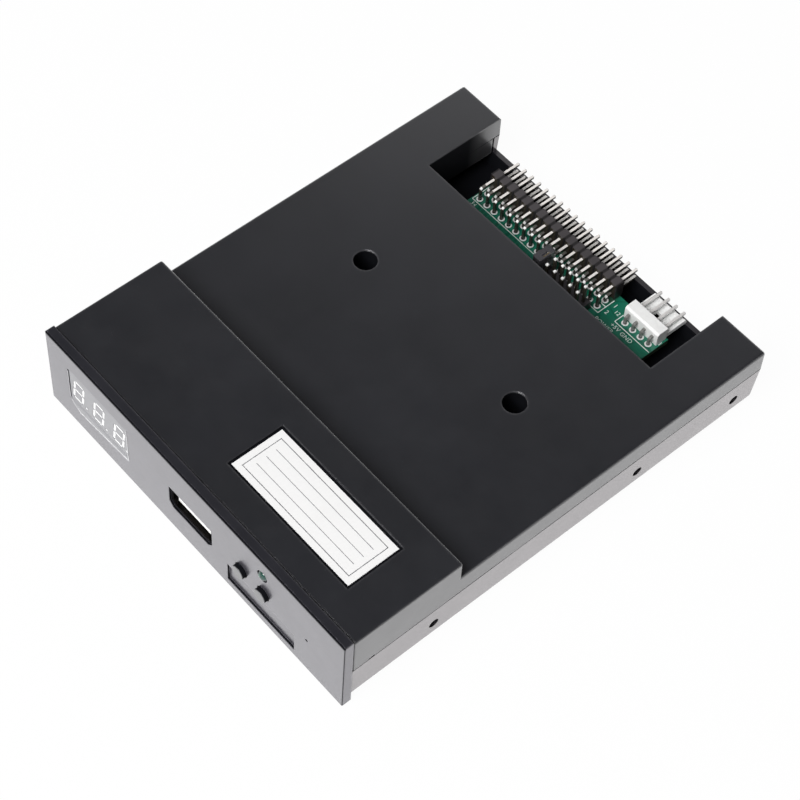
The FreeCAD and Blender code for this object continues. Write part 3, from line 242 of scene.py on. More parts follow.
def moulded(name, colour, worn_and_lit_edge, rough=(0.32, 0.4), grain=(2600, 0.000012), edge=0.00012,
            specks=0.35, inner=(), shaded_sides=None, seam=None, joints=None, side_coat=1.0,
            front_only=False, tint=(1.0, 1.0, 1.0), **sockets):
    """Injection-moulded plastic: fine spark-eroded grain, cloudy tone, dust, and edges painted
    lighter, partly as rubbed wear and partly as a painted highlight.

    The grain is its scale and its depth in metres. The inner boxes, and with front_only all that
    doesn't face the front, get painted shade: there the plastic is darkened, matt and without
    coat or shine. The sides colour is painted shade on what doesn't face up, side_coat thins the
    gloss of the left and right faces, and the tint is the colour of the shine. The seam is a
    parting line's height, where a painted shadow line stands for the gap between the mouldings,
    and joints gives a row of blocks with painted shade in the grooves between them."""
    s = Surface(name).set(**sockets)
    grain_scale, grain_depth = grain
    cloud = s.noise(45, 5)
    fine = s.noise(grain_scale, 3, 0.6)
    tone = s.mix(shade(colour, 0.82), shade(colour, 1.2), s.span(cloud, 0.3, 0.7))
    tone = s.mix(tone, shade(colour, 1.5), s.span(fine, 0.55, 0.8, 0.0, 0.35))
    dust = s.cells(1500)
    gate = s.span(s.noise(170, 2, offset=3.0), 0.56, 0.66)
    dots = s.math("MULTIPLY", s.span(dust, 0.09, 0.04), gate)
    tone = s.mix(tone, DUST, s.math("MULTIPLY", dots, specks))
    rounded, edges = s.soft_edges(edge)
    # Edges are painted lighter: partly rubbed wear, partly a painted highlight.
    rub_and_edge_light = s.math("MULTIPLY", edges, s.span(s.noise(420, 4, offset=7.0), 0.35, 0.7, 0.25, 1.0))
    tone = s.mix(tone, worn_and_lit_edge, s.math("MULTIPLY", rub_and_edge_light, 0.55))
    gloss = s.span(s.noise(110, 6, 0.65, offset=1.5), 0.3, 0.7, rough[0], rough[1])
    gloss = s.math("SUBTRACT", gloss, s.math("MULTIPLY", rub_and_edge_light, 0.06))
    # Painted shade on what doesn't face up.
    if shaded_sides is not None:
        tone = s.mix(shaded_sides, tone, s.facing_up())
    # Painted shade in the grooves between the blocks.
    if joints is not None:
        tone = s.mix(tone, shade(colour, 0.25), s.between_ways(*joints))
    # Painted shade: in the inner boxes, off the front where front_only is set, and along the seam,
    # the plastic is darkened, matt and without coat or shine.
    dull_and_shaded = None
    if front_only:
        dull_and_shaded = s.span(s.facing(1), -0.8, -0.4)
    for low, high, fade in inner:
        mask = s.within(low, high, fade)
        dull_and_shaded = mask if dull_and_shaded is None else s.math("MAXIMUM", dull_and_shaded, mask)
    # The seam gets a painted shadow line of uneven width, for the gap between the mouldings.
    if seam is not None:
        dull_and_shaded = s.math("MAXIMUM", dull_and_shaded, s.hairline(seam))
    if dull_and_shaded is not None:
        tone = s.mix(tone, shade(colour, 0.6), dull_and_shaded)
        gloss = s.math("MAXIMUM", gloss, s.math("MULTIPLY", dull_and_shaded, 0.9))
        coat = s.math("SUBTRACT", 1.0, dull_and_shaded)
        if side_coat < 1.0:
            side = s.math("ABSOLUTE", s.facing(0))
            coat = s.math("MULTIPLY", coat, s.span(side, 0.6, 0.9, 1.0, side_coat))
        s.link(coat, s.shader.inputs["Coat Weight"])
        shine = s.mix(tint, (0.0, 0.0, 0.0), dull_and_shaded)
        s.link(shine, s.shader.inputs["Sheen Tint"])
        s.link(shine, s.shader.inputs["Specular Tint"])
    return s.finish(tone, gloss, s.bump(fine, grain_depth, 0.6, rounded))


def metal(name, colour, dark, rough=(0.22, 0.42), along=(1, 1, 1), scale=900, shaded_sides=None,
          shade_in_front=None, front=None, glint=None, **sockets):
    """Plated metal with drawing marks along one way and a patchy matt film; its edges are
    painted lighter, a painted highlight.

    Where a sides colour is given, it is painted shade on what doesn't face up, and what faces
    up is painted lit. The metal in front of shade_in_front, in millimetres from the bezel, gets
    painted shade: dark, or of the front colour. What lies in the glint box is painted bright all
    round, a painted highlight."""
    s = Surface(name).set(Metallic=1.0).set(**sockets)
    marks = s.noise(scale, 4, 0.6, where=s.stretched(along))
    film = s.noise(320, 4, 0.6, offset=2.0)
    tone = s.mix(colour, shade(colour, 0.86), marks)
    tone = s.mix(tone, dark, s.span(film, 0.5, 0.8, 0.0, 0.4))
    rounded, edges = s.soft_edges(0.00005, 2)
    # Edges are painted lighter, a painted highlight.
    tone = s.mix(tone, shade(colour, 1.1), s.math("MULTIPLY", edges, 0.5))
    # What doesn't face up gets painted shade, and what faces up is painted lit.
    if shaded_sides is not None:
        bright = s.span(s.facing(2), 0.7, 0.92)
        if shade_in_front is not None:
            start = (shade_in_front - MIDDLE) * MM
            behind = s.span(s.split(s.place)[1], start, start + 0.0002, 0.16, 1.0)
            bright = s.math("MULTIPLY", bright, behind)
        tone = s.mix(shaded_sides, tone, bright)
        # In front of shade_in_front the painted shade takes the front colour.
        if front is not None:
            tone = s.mix(front, tone, s.span(behind, 0.3, 0.9))
    # A painted highlight in the glint box.
    if glint is not None:
        tone = s.mix(tone, GLINT, s.within(*glint))
    gloss = s.span(marks, 0.3, 0.7, rough[0], rough[1])
    return s.finish(tone, gloss, s.bump(marks, 0.000006, 0.4, rounded))


def plain(name, colour, other, rough=(0.35, 0.5), scale=700, **sockets):
    """Nylon, resin, ceramic or ink: a soft mottle of two tones under a fine skin."""
    s = Surface(name).set(**sockets)
    mottle = s.noise(scale, 4, 0.6)
    drift = s.noise(60, 3, offset=4.0)
    tone = s.mix(colour, other, s.span(mottle, 0.35, 0.75))
    tone = s.mix(tone, shade(colour, 0.93), s.span(drift, 0.4, 0.7, 0.0, 0.6))
    rounded, edges = s.soft_edges(0.00006, 2)
    # Edges are painted lighter, a painted highlight.
    tone = s.mix(tone, shade(colour, 1.15), s.math("MULTIPLY", edges, 0.35))
    gloss = s.span(drift, 0.3, 0.7, rough[0], rough[1])
    return s.finish(tone, gloss, s.bump(mottle, 0.000008, 0.5, rounded))


def laminate(name):
    """Green solder mask over woven glass: the weave shows faintly, with copper under it.

    The board under the drive header is painted a patchy dark brown, a painted shade, and the
    board's cut faces are darker, with fine layers."""
    bare, copper, glass, deep = ((0.004, 0.115, 0.068), (0.006, 0.165, 0.098),
                                 (0.012, 0.215, 0.135), (0.003, 0.075, 0.045))
    brown = (0.026, 0.018, 0.009)
    s = Surface(name).set(Coat_Weight=0.6, Coat_Roughness=0.12, Coat_IOR=1.5)
    weave = s.math("MULTIPLY", s.waves(620, 1.5, "X"), s.waves(620, 1.5, "Y"))
    pour = s.span(s.cells(170, "DISTANCE_TO_EDGE"), 0.02, 0.05)
    tone = s.mix(bare, copper, pour)
    tone = s.mix(tone, glass, s.span(weave, 0.3, 0.9, 0.0, 0.35))
    tone = s.mix(tone, deep, s.span(s.noise(90, 4), 0.5, 0.8, 0.0, 0.5))
    # Painted shade under the drive header: a patchy dark brown.
    header_shade = s.within(at(-29.4, 112.4, 0), at(13.6, 117.0, 30), (0.001, 0.0009, 0.001))
    patchy = s.span(s.noise(420, 4, offset=6.0), 0.25, 0.55, 0.42, 0.78)
    tone = s.mix(tone, brown, s.math("MULTIPLY", header_shade, patchy))
    layers = s.noise(2500, 3, where=s.stretched((0.2, 0.2, 4)))
    cut = s.mix((0.05, 0.055, 0.03), (0.03, 0.05, 0.03), layers)
    tone = s.mix(cut, tone, s.span(s.math("ABSOLUTE", s.facing(2)), 0.3, 0.7))
    gloss = s.span(s.noise(260, 3, offset=5.0), 0.3, 0.7, 0.28, 0.42)
    return s.finish(tone, gloss, s.bump(weave, 0.00001, 0.35))


def paper(name):
    """Matt paper with faint fibres and a slightly yellowed blotch here and there."""
    s = Surface(name).set(Specular_IOR_Level=0.3)
    fibres = s.noise(1700, 6, 0.7, where=s.stretched((1.0, 0.35, 1.0)))
    blotch = s.noise(80, 3)
    tone = s.mix((0.80, 0.795, 0.79), (0.87, 0.865, 0.86), fibres)
    tone = s.mix(tone, (0.76, 0.755, 0.74), s.span(blotch, 0.5, 0.8, 0.0, 0.5))
    return s.finish(tone, s.span(blotch, 0.3, 0.7, 0.55, 0.75), s.bump(fibres, 0.00001, 0.4))


# Where the case's plastic gets painted shade, darkened, matt and without coat or shine: low and
# high corners and the width of the soft border, in metres. The bezel's holes and pocket have
# shaded walls, but the pocket's floor is outside. The top edge and the two upright corners of
# the bezel's face are rounded, and get painted shade as well. Under the cover, inside the lower
# case and on the walls of the label's recess the plastic gets painted shade too.
HAIR = (0.00005, 0.00005, 0.00005)
CORNER_FADE = (0.00015, 0.00015, 0.00005)
BAY_FADE = (0.0003, 0.009, 0.0003)
BEZEL_SHADE = ((at(-49.5, 0.14, 1.0), at(49.5, 0.5, 24.0), HAIR),
               (at(-49.5, 0.7, 1.0), at(49.5, 12.0, 24.0), HAIR),
               (at(-52.0, -0.5, 24.7), at(52.0, 0.25, 25.5), (0.00005, 0.00005, 0.0008)),
               (at(50.72, -0.5, 0.0), at(52.0, 0.07, 25.5), CORNER_FADE),
               (at(-52.0, -0.5, 0.0), at(-50.72, 0.07, 25.5), CORNER_FADE))
COVER_SHADE = ((at(-49.2, 4.0, 0.0), at(49.2, 113.0, 18.2), BAY_FADE),
               (at(-49.2, 4.0, 0.0), at(49.2, 31.0, 23.2), HAIR),
               (at(0.6, 9.7, 23.85), at(40.2, 24.9, 24.17), HAIR))
LOWER_SHADE = ((at(-49.3, 4.0, 1.8), at(49.3, 121.6, 20.0), HAIR),)

# Painted highlights, where the pins would catch the light: at the bend of the upper and of the
# lower row, and at the tips of the jumper's upright pins.
UPPER_BEND = (at(-40, 108.9, 11.5), at(40, 109.35, 13), HAIR)
LOWER_BEND = (at(-40, 111.45, 9.1), at(40, 111.95, 10.5), HAIR)
JUMPER_TIPS = (at(-40, 102, 15.9), at(40, 107.5, 16.6), HAIR)

BLACK = (0.0105, 0.0111, 0.0138)
# Edge colours: partly rubbed wear, partly a painted highlight.
RUBBED_AND_LIT = (0.10, 0.10, 0.105)
RUBBED_AND_LIT_HEADER = (0.10, 0.09, 0.095)
# Painted shade for what doesn't face up.
PIN_SHADED_SIDES = (0.03, 0.026, 0.018)
CASE_GLOSS = dict(IOR=1.5, Specular_IOR_Level=1.0, Coat_Weight=1.0, Coat_Roughness=0.2,
                  Coat_IOR=1.8, Coat_Tint=(0.985, 0.98, 1.0, 1.0), Sheen_Weight=0.45,
                  Sheen_Roughness=0.3)
LOWER_GLOSS = dict(CASE_GLOSS, Coat_IOR=2.0, Coat_Tint=(1.0, 0.97, 0.985, 1.0))
HEADER_SKIN = dict(rough=(0.3, 0.45), grain=(4200, 0.000008), edge=0.00006, specks=0.15)
DRAWN = dict(rough=(0.2, 0.38), along=(1, 0.15, 0.15))
DRAWN_UPRIGHT = dict(rough=(0.2, 0.38), along=(1, 1, 0.15))
FINISHES = {
    "bezel": moulded("bezel_black", BLACK, RUBBED_AND_LIT, edge=0.0006, inner=BEZEL_SHADE,
                     side_coat=0.66, tint=(0.92, 0.88, 1.0), **dict(CASE_GLOSS, Coat_IOR=1.75)),
    "cover": moulded("cover_black", BLACK, RUBBED_AND_LIT, edge=0.0008, inner=COVER_SHADE,
                     seam=CASE_SEAM, side_coat=0.62, **CASE_GLOSS),
    "lower": moulded("lower_case_black", BLACK, RUBBED_AND_LIT, edge=0.0002, inner=LOWER_SHADE,
                     seam=CASE_SEAM, tint=(1.0, 0.92, 0.95), **LOWER_GLOSS),
    "button": moulded("button_black", BLACK, (0.03, 0.03, 0.03), rough=(0.42, 0.5),
                      grain=(5200, 0.000006), front_only=True, **CASE_GLOSS),
    "label": paper("label_paper"),
    "screw": metal("black_zinc_screw", (0.035, 0.035, 0.04), (0.015, 0.015, 0.016), (0.35, 0.5)),
    "board": laminate("green_board"),
    "white": plain("white_nylon", (0.84, 0.84, 0.83), (0.90, 0.90, 0.89), Subsurface_Weight=0.15,
                   Subsurface_Scale=0.0006, Subsurface_Radius=(1.0, 1.0, 1.0)),
    "display_body": plain("display_body_white", (0.78, 0.77, 0.75), (0.84, 0.83, 0.81)),
    "display_ink": plain("display_grey_ink", (0.19, 0.19, 0.205), (0.23, 0.23, 0.245),
                         (0.4, 0.55), Coat_Weight=1.0, Coat_Roughness=0.15, Coat_IOR=1.6),
    "segment": plain("segment_milky_resin", (0.88, 0.88, 0.88), (0.93, 0.93, 0.93), (0.25, 0.4),
                     Coat_Weight=0.4, Coat_Roughness=0.2),
    # Painted light on the pins: a pale, mostly unmetallic colour stands in for the shine of tinned
    # metal, a painted reflection, and the upper and lower rows and the upright pins are painted
    # brighter still, the lower row brightest.
    "pin": metal("tinned_pin", (0.86, 0.81, 0.77), (0.62, 0.55, 0.48), shaded_sides=PIN_SHADED_SIDES,
                 Metallic=0.3, **DRAWN),
    "high_pin": metal("lit_pin", (0.96, 0.92, 0.88), (0.80, 0.74, 0.68), shaded_sides=PIN_SHADED_SIDES,
                      shade_in_front=110.45, glint=UPPER_BEND, Metallic=0.1, **DRAWN),
    "low_pin": metal("shaded_pin", (0.99, 0.96, 0.92), (0.88, 0.83, 0.77), shaded_sides=PIN_SHADED_SIDES,
                     shade_in_front=114.8, glint=LOWER_BEND, Metallic=0.0, **DRAWN),
    "jumper_pin": metal("upright_pin", (0.96, 0.93, 0.90), (0.80, 0.76, 0.72),
                        shaded_sides=(0.035, 0.03, 0.022), glint=JUMPER_TIPS, Metallic=0.1,
                        **DRAWN_UPRIGHT),
    "power_pin": metal("bright_pin", (0.86, 0.84, 0.82), (0.70, 0.67, 0.64),
                       shaded_sides=(0.72, 0.72, 0.71), shade_in_front=112.6, front=(0.22, 0.22, 0.21),
                       Metallic=0.3, **DRAWN),
    # The film's cut edge is painted pale, a painted highlight.
    "film": plain("film_edge_painted_highlight", (0.40, 0.40, 0.42), (0.76, 0.76, 0.77), (0.2, 0.35), 1400,
                  Coat_Weight=1.0, Coat_Roughness=0.1, Coat_IOR=1.6),
    "wire": plain("grey_wire_jacket", (0.22, 0.22, 0.23), (0.26, 0.26, 0.27), (0.4, 0.5)),
    # The socket's steel is painted near black, a painted shade for the inside of the port.
    "socket": metal("socket_steel_painted_shade", (0.035, 0.032, 0.032), (0.02, 0.02, 0.02),
                    (0.28, 0.45), (1, 0.2, 1)),
    "gold": metal("gold_flash", (0.83, 0.62, 0.28), (0.45, 0.32, 0.14), (0.18, 0.32), (0.3, 1, 1)),
    "switch": plain("switch_black", (0.02, 0.02, 0.02), (0.028, 0.028, 0.028)),
    "sheet": metal("bright_sheet", (0.62, 0.61, 0.60), (0.30, 0.29, 0.28)),
    "led": plain("green_led_resin", (0.002, 0.035, 0.025), (0.004, 0.07, 0.05), (0.06, 0.12),
                 Coat_Weight=1.0, Coat_Roughness=0.03, Subsurface_Weight=0.2,
                 Subsurface_Scale=0.001),
    "header": moulded("header_black", (0.062, 0.056, 0.059), RUBBED_AND_LIT_HEADER,
                      shaded_sides=(0.02, 0.015, 0.009),
                      joints=((HEADER_FIRST - PITCH / 2) * MM, PITCH * MM, 0.2),
                      **HEADER_SKIN),
    "jumper_block": moulded("jumper_black", (0.04, 0.036, 0.039), RUBBED_AND_LIT_HEADER,
                            shaded_sides=(0.007, 0.005, 0.005), **HEADER_SKIN),
    "shunt": moulded("shunt_black", (0.055, 0.053, 0.058), (0.30, 0.30, 0.32), rough=(0.2, 0.3),
                     grain=(2200, 0.00003), specks=0.2, Coat_Weight=0.8, Coat_Roughness=0.12),
    "chip": moulded("chip_epoxy", (0.02, 0.02, 0.021), (0.05, 0.05, 0.05), rough=(0.5, 0.65),
                    grain=(5200, 0.000012), edge=0.00005),
    "crystal": metal("crystal_can", (0.66, 0.65, 0.62), (0.35, 0.34, 0.32), (0.25, 0.4),
                     (0.2, 1, 1)),
    "can": metal("capacitor_can", (0.74, 0.74, 0.75), (0.42, 0.42, 0.43), (0.2, 0.35),
                 (1, 1, 0.1)),
    "resistor": plain("resistor_film", (0.03, 0.03, 0.035), (0.05, 0.05, 0.055)),
    "capacitor": plain("capacitor_ceramic", (0.36, 0.25, 0.15), (0.42, 0.30, 0.19)),
    "silk": plain("board_print", (0.78, 0.86, 0.82), (0.86, 0.90, 0.87), (0.5, 0.65), 2600),
    # The tinned pads and vias are painted white and unmetallic, a painted reflection of their
    # shine.
    "solder": metal("tinned_pad", (0.95, 0.96, 0.94), (0.85, 0.87, 0.84), (0.14, 0.3),
                    scale=1600, Metallic=0.0),
    "trace": plain("mask_over_copper", (0.010, 0.20, 0.12), (0.014, 0.24, 0.15), (0.25, 0.35),
                   Coat_Weight=0.6, Coat_Roughness=0.12),
    "ruling": plain("label_ruling", (0.16, 0.16, 0.17), (0.24, 0.24, 0.25), (0.5, 0.7), 2400),
}
NODE_FINISH = {
    "front_bezel": "bezel", "top_cover": "cover", "bottom_case": "lower", "paper_label": "label",
    "case_screws": "screw", "main_board": "board", "display_board": "board",
    "display_housing": "display_body", "display_face": "display_ink",
    "display_segments": "segment", "display_pins": "pin", "display_wires": "wire",
    "cable_header": "white", "usb_shell": "socket", "usb_insulator": "white",
    "usb_contacts": "gold", "left_button": "button", "right_button": "button",
    "left_switch_body": "switch", "right_switch_body": "switch", "left_switch_frame": "sheet",
    "right_switch_frame": "sheet", "left_switch_dome": "sheet", "right_switch_dome": "sheet",
    "switch_pins": "pin", "activity_led": "led", "led_leads": "pin",
    "drive_header_housing": "header", "drive_header_upper_pins": "high_pin",
    "drive_header_lower_pins": "low_pin", "jumper_housing": "jumper_block",
    "jumper_pins": "jumper_pin", "jumper_shunt": "shunt", "shunt_clip": "gold",
    "power_connector_housing": "white", "power_connector_pins": "power_pin",
    "microcontroller": "chip", "microcontroller_leads": "pin", "buffer_chips": "chip",
    "buffer_leads": "pin", "crystal": "crystal", "voltage_regulator": "chip",
    "can_capacitors": "can", "chip_resistors": "resistor", "chip_capacitors": "capacitor",
}
for name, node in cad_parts.items():
    node.data.materials.clear()
    node.data.materials.append(FINISHES[NODE_FINISH[name]])


# Small pieces, all of them on the case

def piece(name, mesh, finish, body="case"):
    made = bpy.data.objects.new(name, mesh)
    bpy.context.scene.collection.objects.link(made)
    mesh.materials.append(FINISHES[finish])
    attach(made, body)


def build(name, fill, finish, smooth=False):
    shape = bmesh.new()
    fill(shape)
    bmesh.ops.recalc_face_normals(shape, faces=shape.faces)
    mesh = bpy.data.meshes.new(name)
    shape.to_mesh(mesh)
    shape.free()
    for face in mesh.polygons:
        face.use_smooth = smooth
    piece(name, mesh, finish)


def join(shape, ring, following):
    """Faces between two closed rows of as many points each."""
    for place in range(len(ring)):
        after = (place + 1) % len(ring)
        shape.faces.new((ring[place], ring[after], following[after], following[place]))


def turned_ring(shape, centre, profile, count=20):
    """Turns a closed profile of (radius, height) about a vertical line through the centre."""
    rings = []
    for radius, height in profile:
        ring = []
        for step in range(count):
            angle = 2 * math.pi * step / count
            x = centre[0] + radius * math.cos(angle)
            y = centre[1] + radius * math.sin(angle)
            ring.append(shape.verts.new(at(x, y, centre[2] + height)))
        rings.append(ring)
    for ring, following in zip(rings, rings[1:] + rings[:1]):
        join(shape, ring, following)


def strip(shape, start, end, width, low, thick):
    """A thin flat bar between two points in x and y, square at its ends."""
    start = Vector(start)
    end = Vector(end)
    way = (end - start).normalized()
    across = Vector((-way.y, way.x)) * width / 2
    corners = [start - across, end - across, end + across, start + across]
    lower = [shape.verts.new(at(corner.x, corner.y, low)) for corner in corners]
    upper = [shape.verts.new(at(corner.x, corner.y, low + thick)) for corner in corners]
    shape.faces.new(lower[::-1])
    shape.faces.new(upper)
    join(shape, lower, upper)


def fill_pads(shape):
    profile = [(0.47, 0.0), (0.47, 0.045), (0.53, 0.075), (0.68, 0.085), (0.83, 0.06), (0.88, 0.0)]
    rows = (HEADER_PADS_FRONT, HEADER_PADS_FRONT + PITCH)
    places = [(x, y) for x in HEADER_COLUMNS for y in rows]
    places += [(x, POWER_PADS) for x in POWER_COLUMNS]
    for x, y in places:
        turned_ring(shape, (x, y, BOARD_TOP), profile)


build("board_pads", fill_pads, "solder", True)


def fill_print(shape):
    """The outlines of the drive header, with its first pin's corner, and of the power connector."""
    left, right, front, rear = -29.45, 14.0, 107.85, 113.2
    corner_left, corner_front = 12.35, 110.4
    power_left, power_front = 18.3, 109.15
    for start, end in (((left, front), (right, front)),
                       ((left, front), (left, rear)),
                       ((right, front), (right, rear)),
                       ((corner_left, corner_front), (corner_left, 112.7)),
                       ((corner_left, corner_front), (right, corner_front)),
                       ((power_left, power_front), (29.6, power_front)),
                       ((power_left, power_front), (power_left, 112.0)),
                       ((29.5, 112.3), (29.5, 113.4))):
        strip(shape, start, end, 0.21, BOARD_TOP, PRINT_THICK)


build("board_print_lines", fill_print, "silk")


def lettering(name, words, size, x, y):
    """Plain raised print that lies on the board and reads along +X."""
    curve = bpy.data.curves.new(name, "FONT")
    curve.body = words
    curve.size = size * MM
    curve.extrude = LETTER_THICK / 2 * MM
    curve.align_x = "CENTER"
    curve.align_y = "CENTER"
    curve.space_character = 1.08
    source = bpy.data.objects.new(name + "_source", curve)
    bpy.context.scene.collection.objects.link(source)
    bpy.context.view_layer.update()
    mesh = bpy.data.meshes.new_from_object(source)
    bpy.data.objects.remove(source)
    mesh.transform(Matrix.Translation(at(x, y, BOARD_TOP + LETTER_THICK / 2)))
    mesh.name = name
    piece(name, mesh, "silk")


lettering("print_volts", "+5V", 1.55, 19.6, 108.0)
lettering("print_ground", "GND", 1.55, 23.3, 107.9)
lettering("print_two", "2", 1.7, 15.2, 109.5)
lettering("print_one", "1", 1.7, 15.3, 112.3)
lettering("print_thirty_three", "34", 1.5, -28.0, 106.9)
lettering("print_power", "POWER", 1.6, 17.4, 106.4)
lettering("print_twelve", "12", 1.5, 17.0, 111.2)


# How far left of the middle between two pads a via lies.
VIA_ASIDE = 0.5


def trace(shape, points, width):
    """Straight runs of copper through the points, under the green mask."""
    for start, end in zip(points, points[1:]):
        strip(shape, start, end, width, BOARD_TOP, TRACE_THICK)


def fill_traces(shape):
    """A trace from each front pad, and between them one from the rear pads to each via."""
    for place, x in enumerate(HEADER_COLUMNS):
        turn = x + 0.9
        trace(shape, [(x, 108.2), (x, 101.0), (turn, 99.0), (turn, 98.4 - (place % 4) * 0.8)], 0.3)
        between = x + PITCH / 2
        if place < len(HEADER_COLUMNS) - 1:
            trace(shape, [(between, 111.0), (between, 105.0), (between - VIA_ASIDE, 104.0)], 0.25)


def fill_vias(shape):
    profile = [(0.16, 0.0), (0.16, 0.035), (0.3, 0.035), (0.32, 0.0)]
    for place, x in enumerate(HEADER_COLUMNS[:-1]):
        y = 103.8 - (place % 3) * 0.9
        turned_ring(shape, (x + PITCH / 2 - VIA_ASIDE, y, BOARD_TOP), profile, 12)


build("board_traces", fill_traces, "trace")
build("board_vias", fill_vias, "solder", True)


# The display window: a clear film is stuck over it and hides the narrow gap round the display.
# The film reaches below the window, and its cut edge is painted pale, a painted highlight.
WINDOW_LEFT, WINDOW_RIGHT = -43.3, -21.9
WINDOW_LOW, WINDOW_HIGH = 7.5, 19.0

# The film's cut edge, from its upper left corner down and round to its upper right corner:
# x, z and how wide the bright border is there.
FILM_EDGE = [
    (WINDOW_LEFT + 0.05, WINDOW_HIGH - 0.8, 0.14), (WINDOW_LEFT + 0.05, WINDOW_LOW + 0.6, 0.18),
    (WINDOW_LEFT + 1.6, WINDOW_LOW - 1.0, 0.3), (WINDOW_LEFT + 3.7, WINDOW_LOW - 2.15, 0.55),
    (WINDOW_LEFT + 4.6, WINDOW_LOW - 1.9, 0.4), (WINDOW_LEFT + 6.2, WINDOW_LOW - 2.0, 0.6),
    (WINDOW_LEFT + 9.5, WINDOW_LOW - 1.65, 0.5), (WINDOW_LEFT + 13.3, WINDOW_LOW - 1.3, 0.6),
    (WINDOW_LEFT + 17.5, WINDOW_LOW - 0.85, 0.5), (WINDOW_LEFT + 20.6, WINDOW_LOW - 0.62, 0.8),
    (WINDOW_RIGHT + 0.1, WINDOW_LOW - 0.3, 0.5), (WINDOW_RIGHT - 0.05, WINDOW_LOW + 1.2, 0.28),
    (WINDOW_RIGHT - 0.1, WINDOW_HIGH - 0.3, 0.24)]


def bar(shape, points, front, back, far_points=None):
    """A flat bar at the bezel's face, from its corners in x and z.

    Its back has the same corners, or the far points."""
    near = [shape.verts.new(at(x, front, z)) for x, z in points]
    far = [shape.verts.new(at(x, back, z)) for x, z in far_points or points]
    shape.faces.new(near)
    shape.faces.new(far[::-1])
    join(shape, near, far)


def fill_film(shape):
    """The film over the gaps below and left of the display, and its flap on the bezel."""
    left, right, low = WINDOW_LEFT + 0.03, WINDOW_RIGHT, WINDOW_LOW
    display_left, display_low, high = left + 0.17, low + 0.95, WINDOW_HIGH - 0.8
    edge = [(left, low - 0.1), (right, low - 0.1)]
    bar(shape, edge + [(right, low + 0.1), (left, low + 0.1)], front=-0.012, back=0.145,
        far_points=edge + [(right, display_low), (left, display_low)])
    bar(shape, [(left, display_low), (display_left, display_low), (display_left, high),
                (left, high)], front=0.02, back=0.12)
    flap = [(x, z) for x, z, _ in FILM_EDGE if z < low]
    bar(shape, [(left + 0.02, low)] + flap + [(right, low)], front=-0.014, back=-0.001)


def fill_film_edge(shape):
    """One closed ribbon along the film's cut edge, mitred where the edge turns."""
    front, back = -0.03, 0.0
    corners = [Vector((x, z)) for x, z, _ in FILM_EDGE]
    ways = [(after - before).normalized() for before, after in zip(corners, corners[1:])]
    sections = []
    for place, (corner, (_, _, wide)) in enumerate(zip(corners, FILM_EDGE)):
        way = (ways[max(place - 1, 0)] + ways[min(place, len(ways) - 1)]).normalized()
        inner = corner + Vector((-way.y, way.x)) * wide
        sections.append([shape.verts.new(at(point.x, y, point.y)) for point, y in
                         ((corner, front), (inner, front), (inner, back), (corner, back))])
    for section, following in zip(sections, sections[1:]):
        join(shape, section, following)
    shape.faces.new(sections[0][::-1])
    shape.faces.new(sections[-1])


build("display_film", fill_film, "display_ink")
build("display_film_edge", fill_film_edge, "film")


def fill_ruling(shape):
    """Three lines to write on, with a frame round them whose corners are closed."""
    line, border = 0.14, 0.2
    left, right, front, rear = 3.0, 37.8, 12.0, 22.6
    lines = [((left + 1.5, y), (right - 1.5, y), line) for y in (14.6, 17.3, 20.0)]
    lines += [((left, y), (right, y), border) for y in (front, rear)]
    lines += [((x, front - border / 2), (x, rear + border / 2), border) for x in (left, right)]
    for start, end, width in lines:
        strip(shape, start, end, width, LABEL_TOP, RULING_THICK)


build("label_ruling", fill_ruling, "ruling")


# Floor, light and camera

WHITE = (1.0, 1.0, 1.0, 1.0)


def pale_floor():
    """White to the camera, in gloss and through glass; lit and shaded as a pale floor is."""
    material = bpy.data.materials.new("pale_floor")
    graph = Graph(material, "ShaderNodeOutputMaterial")
    diffuse = graph.add("ShaderNodeBsdfDiffuse")
    diffuse.inputs["Color"].default_value = (0.82, 0.82, 0.82, 1.0)
    white = graph.add("ShaderNodeEmission")
    white.inputs["Color"].default_value = WHITE
    white.inputs["Strength"].default_value = 1.0
    ray = graph.add("ShaderNodeLightPath").outputs
    seen = graph.math("MAXIMUM", ray["Is Camera Ray"], ray["Is Glossy Ray"])
    seen = graph.math("MAXIMUM", seen, ray["Is Transmission Ray"])
    shadow_share = 0.03    # how much of the object's shadow the camera sees
    graph.show(diffuse, white, graph.math("MULTIPLY", seen, 1.0 - shadow_share))
    return material


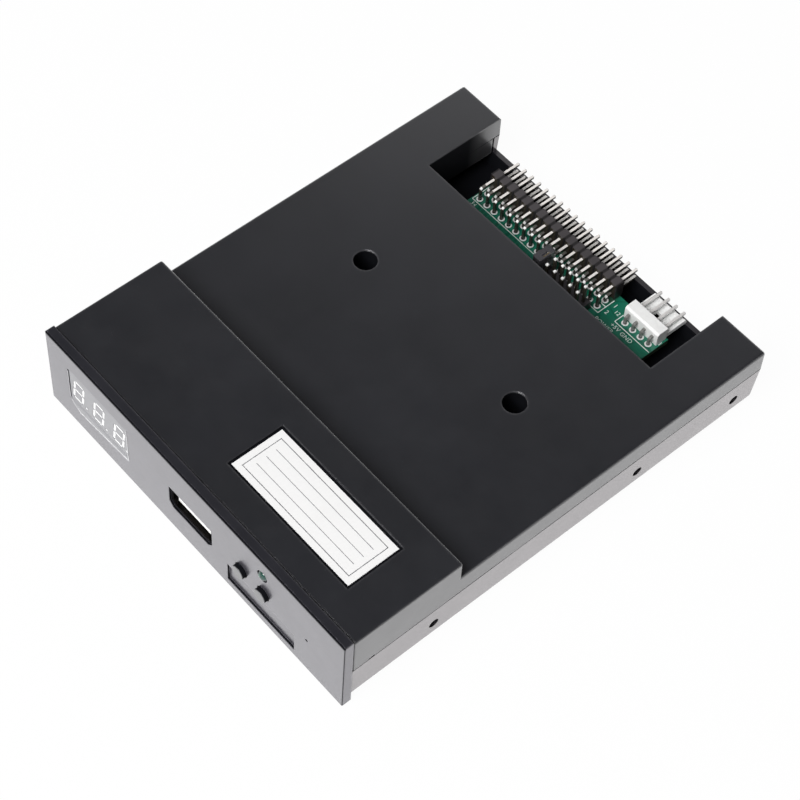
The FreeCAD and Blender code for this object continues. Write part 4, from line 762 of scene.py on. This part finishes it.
def soft_room():
    """Light walls under a dark ceiling; the camera sees white."""
    world = bpy.data.worlds.new("soft_room")
    graph = Graph(world, "ShaderNodeOutputWorld")
    room = graph.add("ShaderNodeBackground")
    white = graph.add("ShaderNodeBackground")
    white.inputs["Color"].default_value = WHITE
    for background in (room, white):
        background.inputs["Strength"].default_value = 1.0
    climb = graph.add("ShaderNodeValToRGB")
    walls, ceiling = climb.color_ramp.elements
    walls.position = 0.0
    walls.color = (0.95, 0.95, 0.95, 1)
    ceiling.position = 0.55
    ceiling.color = (0.02, 0.02, 0.023, 1)
    way = graph.split(graph.add("ShaderNodeTexCoord").outputs["Generated"])
    graph.link(way[2], climb.inputs[0])
    graph.link(climb.outputs[0], room.inputs["Color"])
    ray = graph.add("ShaderNodeLightPath").outputs
    graph.show(room, white, ray["Is Camera Ray"])
    return world


def softbox(name, place, width, height, watts):
    """A rectangular lamp aimed at the origin."""
    light = bpy.data.lights.new(name, "AREA")
    light.shape = "RECTANGLE"
    light.size = width
    light.size_y = height
    light.energy = watts
    lamp = bpy.data.objects.new(name, light)
    bpy.context.scene.collection.objects.link(lamp)
    lamp.location = place
    lamp.rotation_mode = "QUATERNION"
    lamp.rotation_quaternion = (-Vector(place)).to_track_quat("-Z", "Y")


floor_mesh = bpy.data.meshes.new("floor")
half = 4.0
floor_mesh.from_pydata([(-half, -half, 0), (half, -half, 0), (half, half, 0), (-half, half, 0)], [],
                       [(0, 1, 2, 3)])
floor_mesh.materials.append(pale_floor())
floor = bpy.data.objects.new("floor", floor_mesh)
bpy.context.scene.collection.objects.link(floor)
floor.location.z = -0.0001    # just clear of the object's underside

bpy.context.scene.world = soft_room()
softbox("key_softbox", (0.1, -0.85, 1.05), 0.8, 0.8, 24.0)
softbox("rear_softbox", (-0.7, 0.95, 0.98), 0.9, 0.45, 0.7)

# The lens, the place and the three axes were fitted to the case's corners in the photograph.
camera_data = bpy.data.cameras.new("camera")
camera_data.sensor_width = 36.0
camera_data.lens = 105.692
camera_data.clip_start = 0.01
camera_data.clip_end = 20.0
camera = bpy.data.objects.new("camera", camera_data)
bpy.context.scene.collection.objects.link(camera)
right = Vector((0.65337273, 0.75567528, 0.04537557))
down = Vector((0.64192465, -0.52125508, -0.56233966))
ahead = Vector((-0.40129394, 0.3965451, -0.82566044))
axes = Matrix((right, -down, -ahead)).transposed()
camera.matrix_world = Matrix.Translation(at(214.6988, -152.1798, 442.256)) @ axes.to_4x4()
bpy.context.scene.camera = camera
bpy.context.scene.view_settings.view_transform = "Standard"
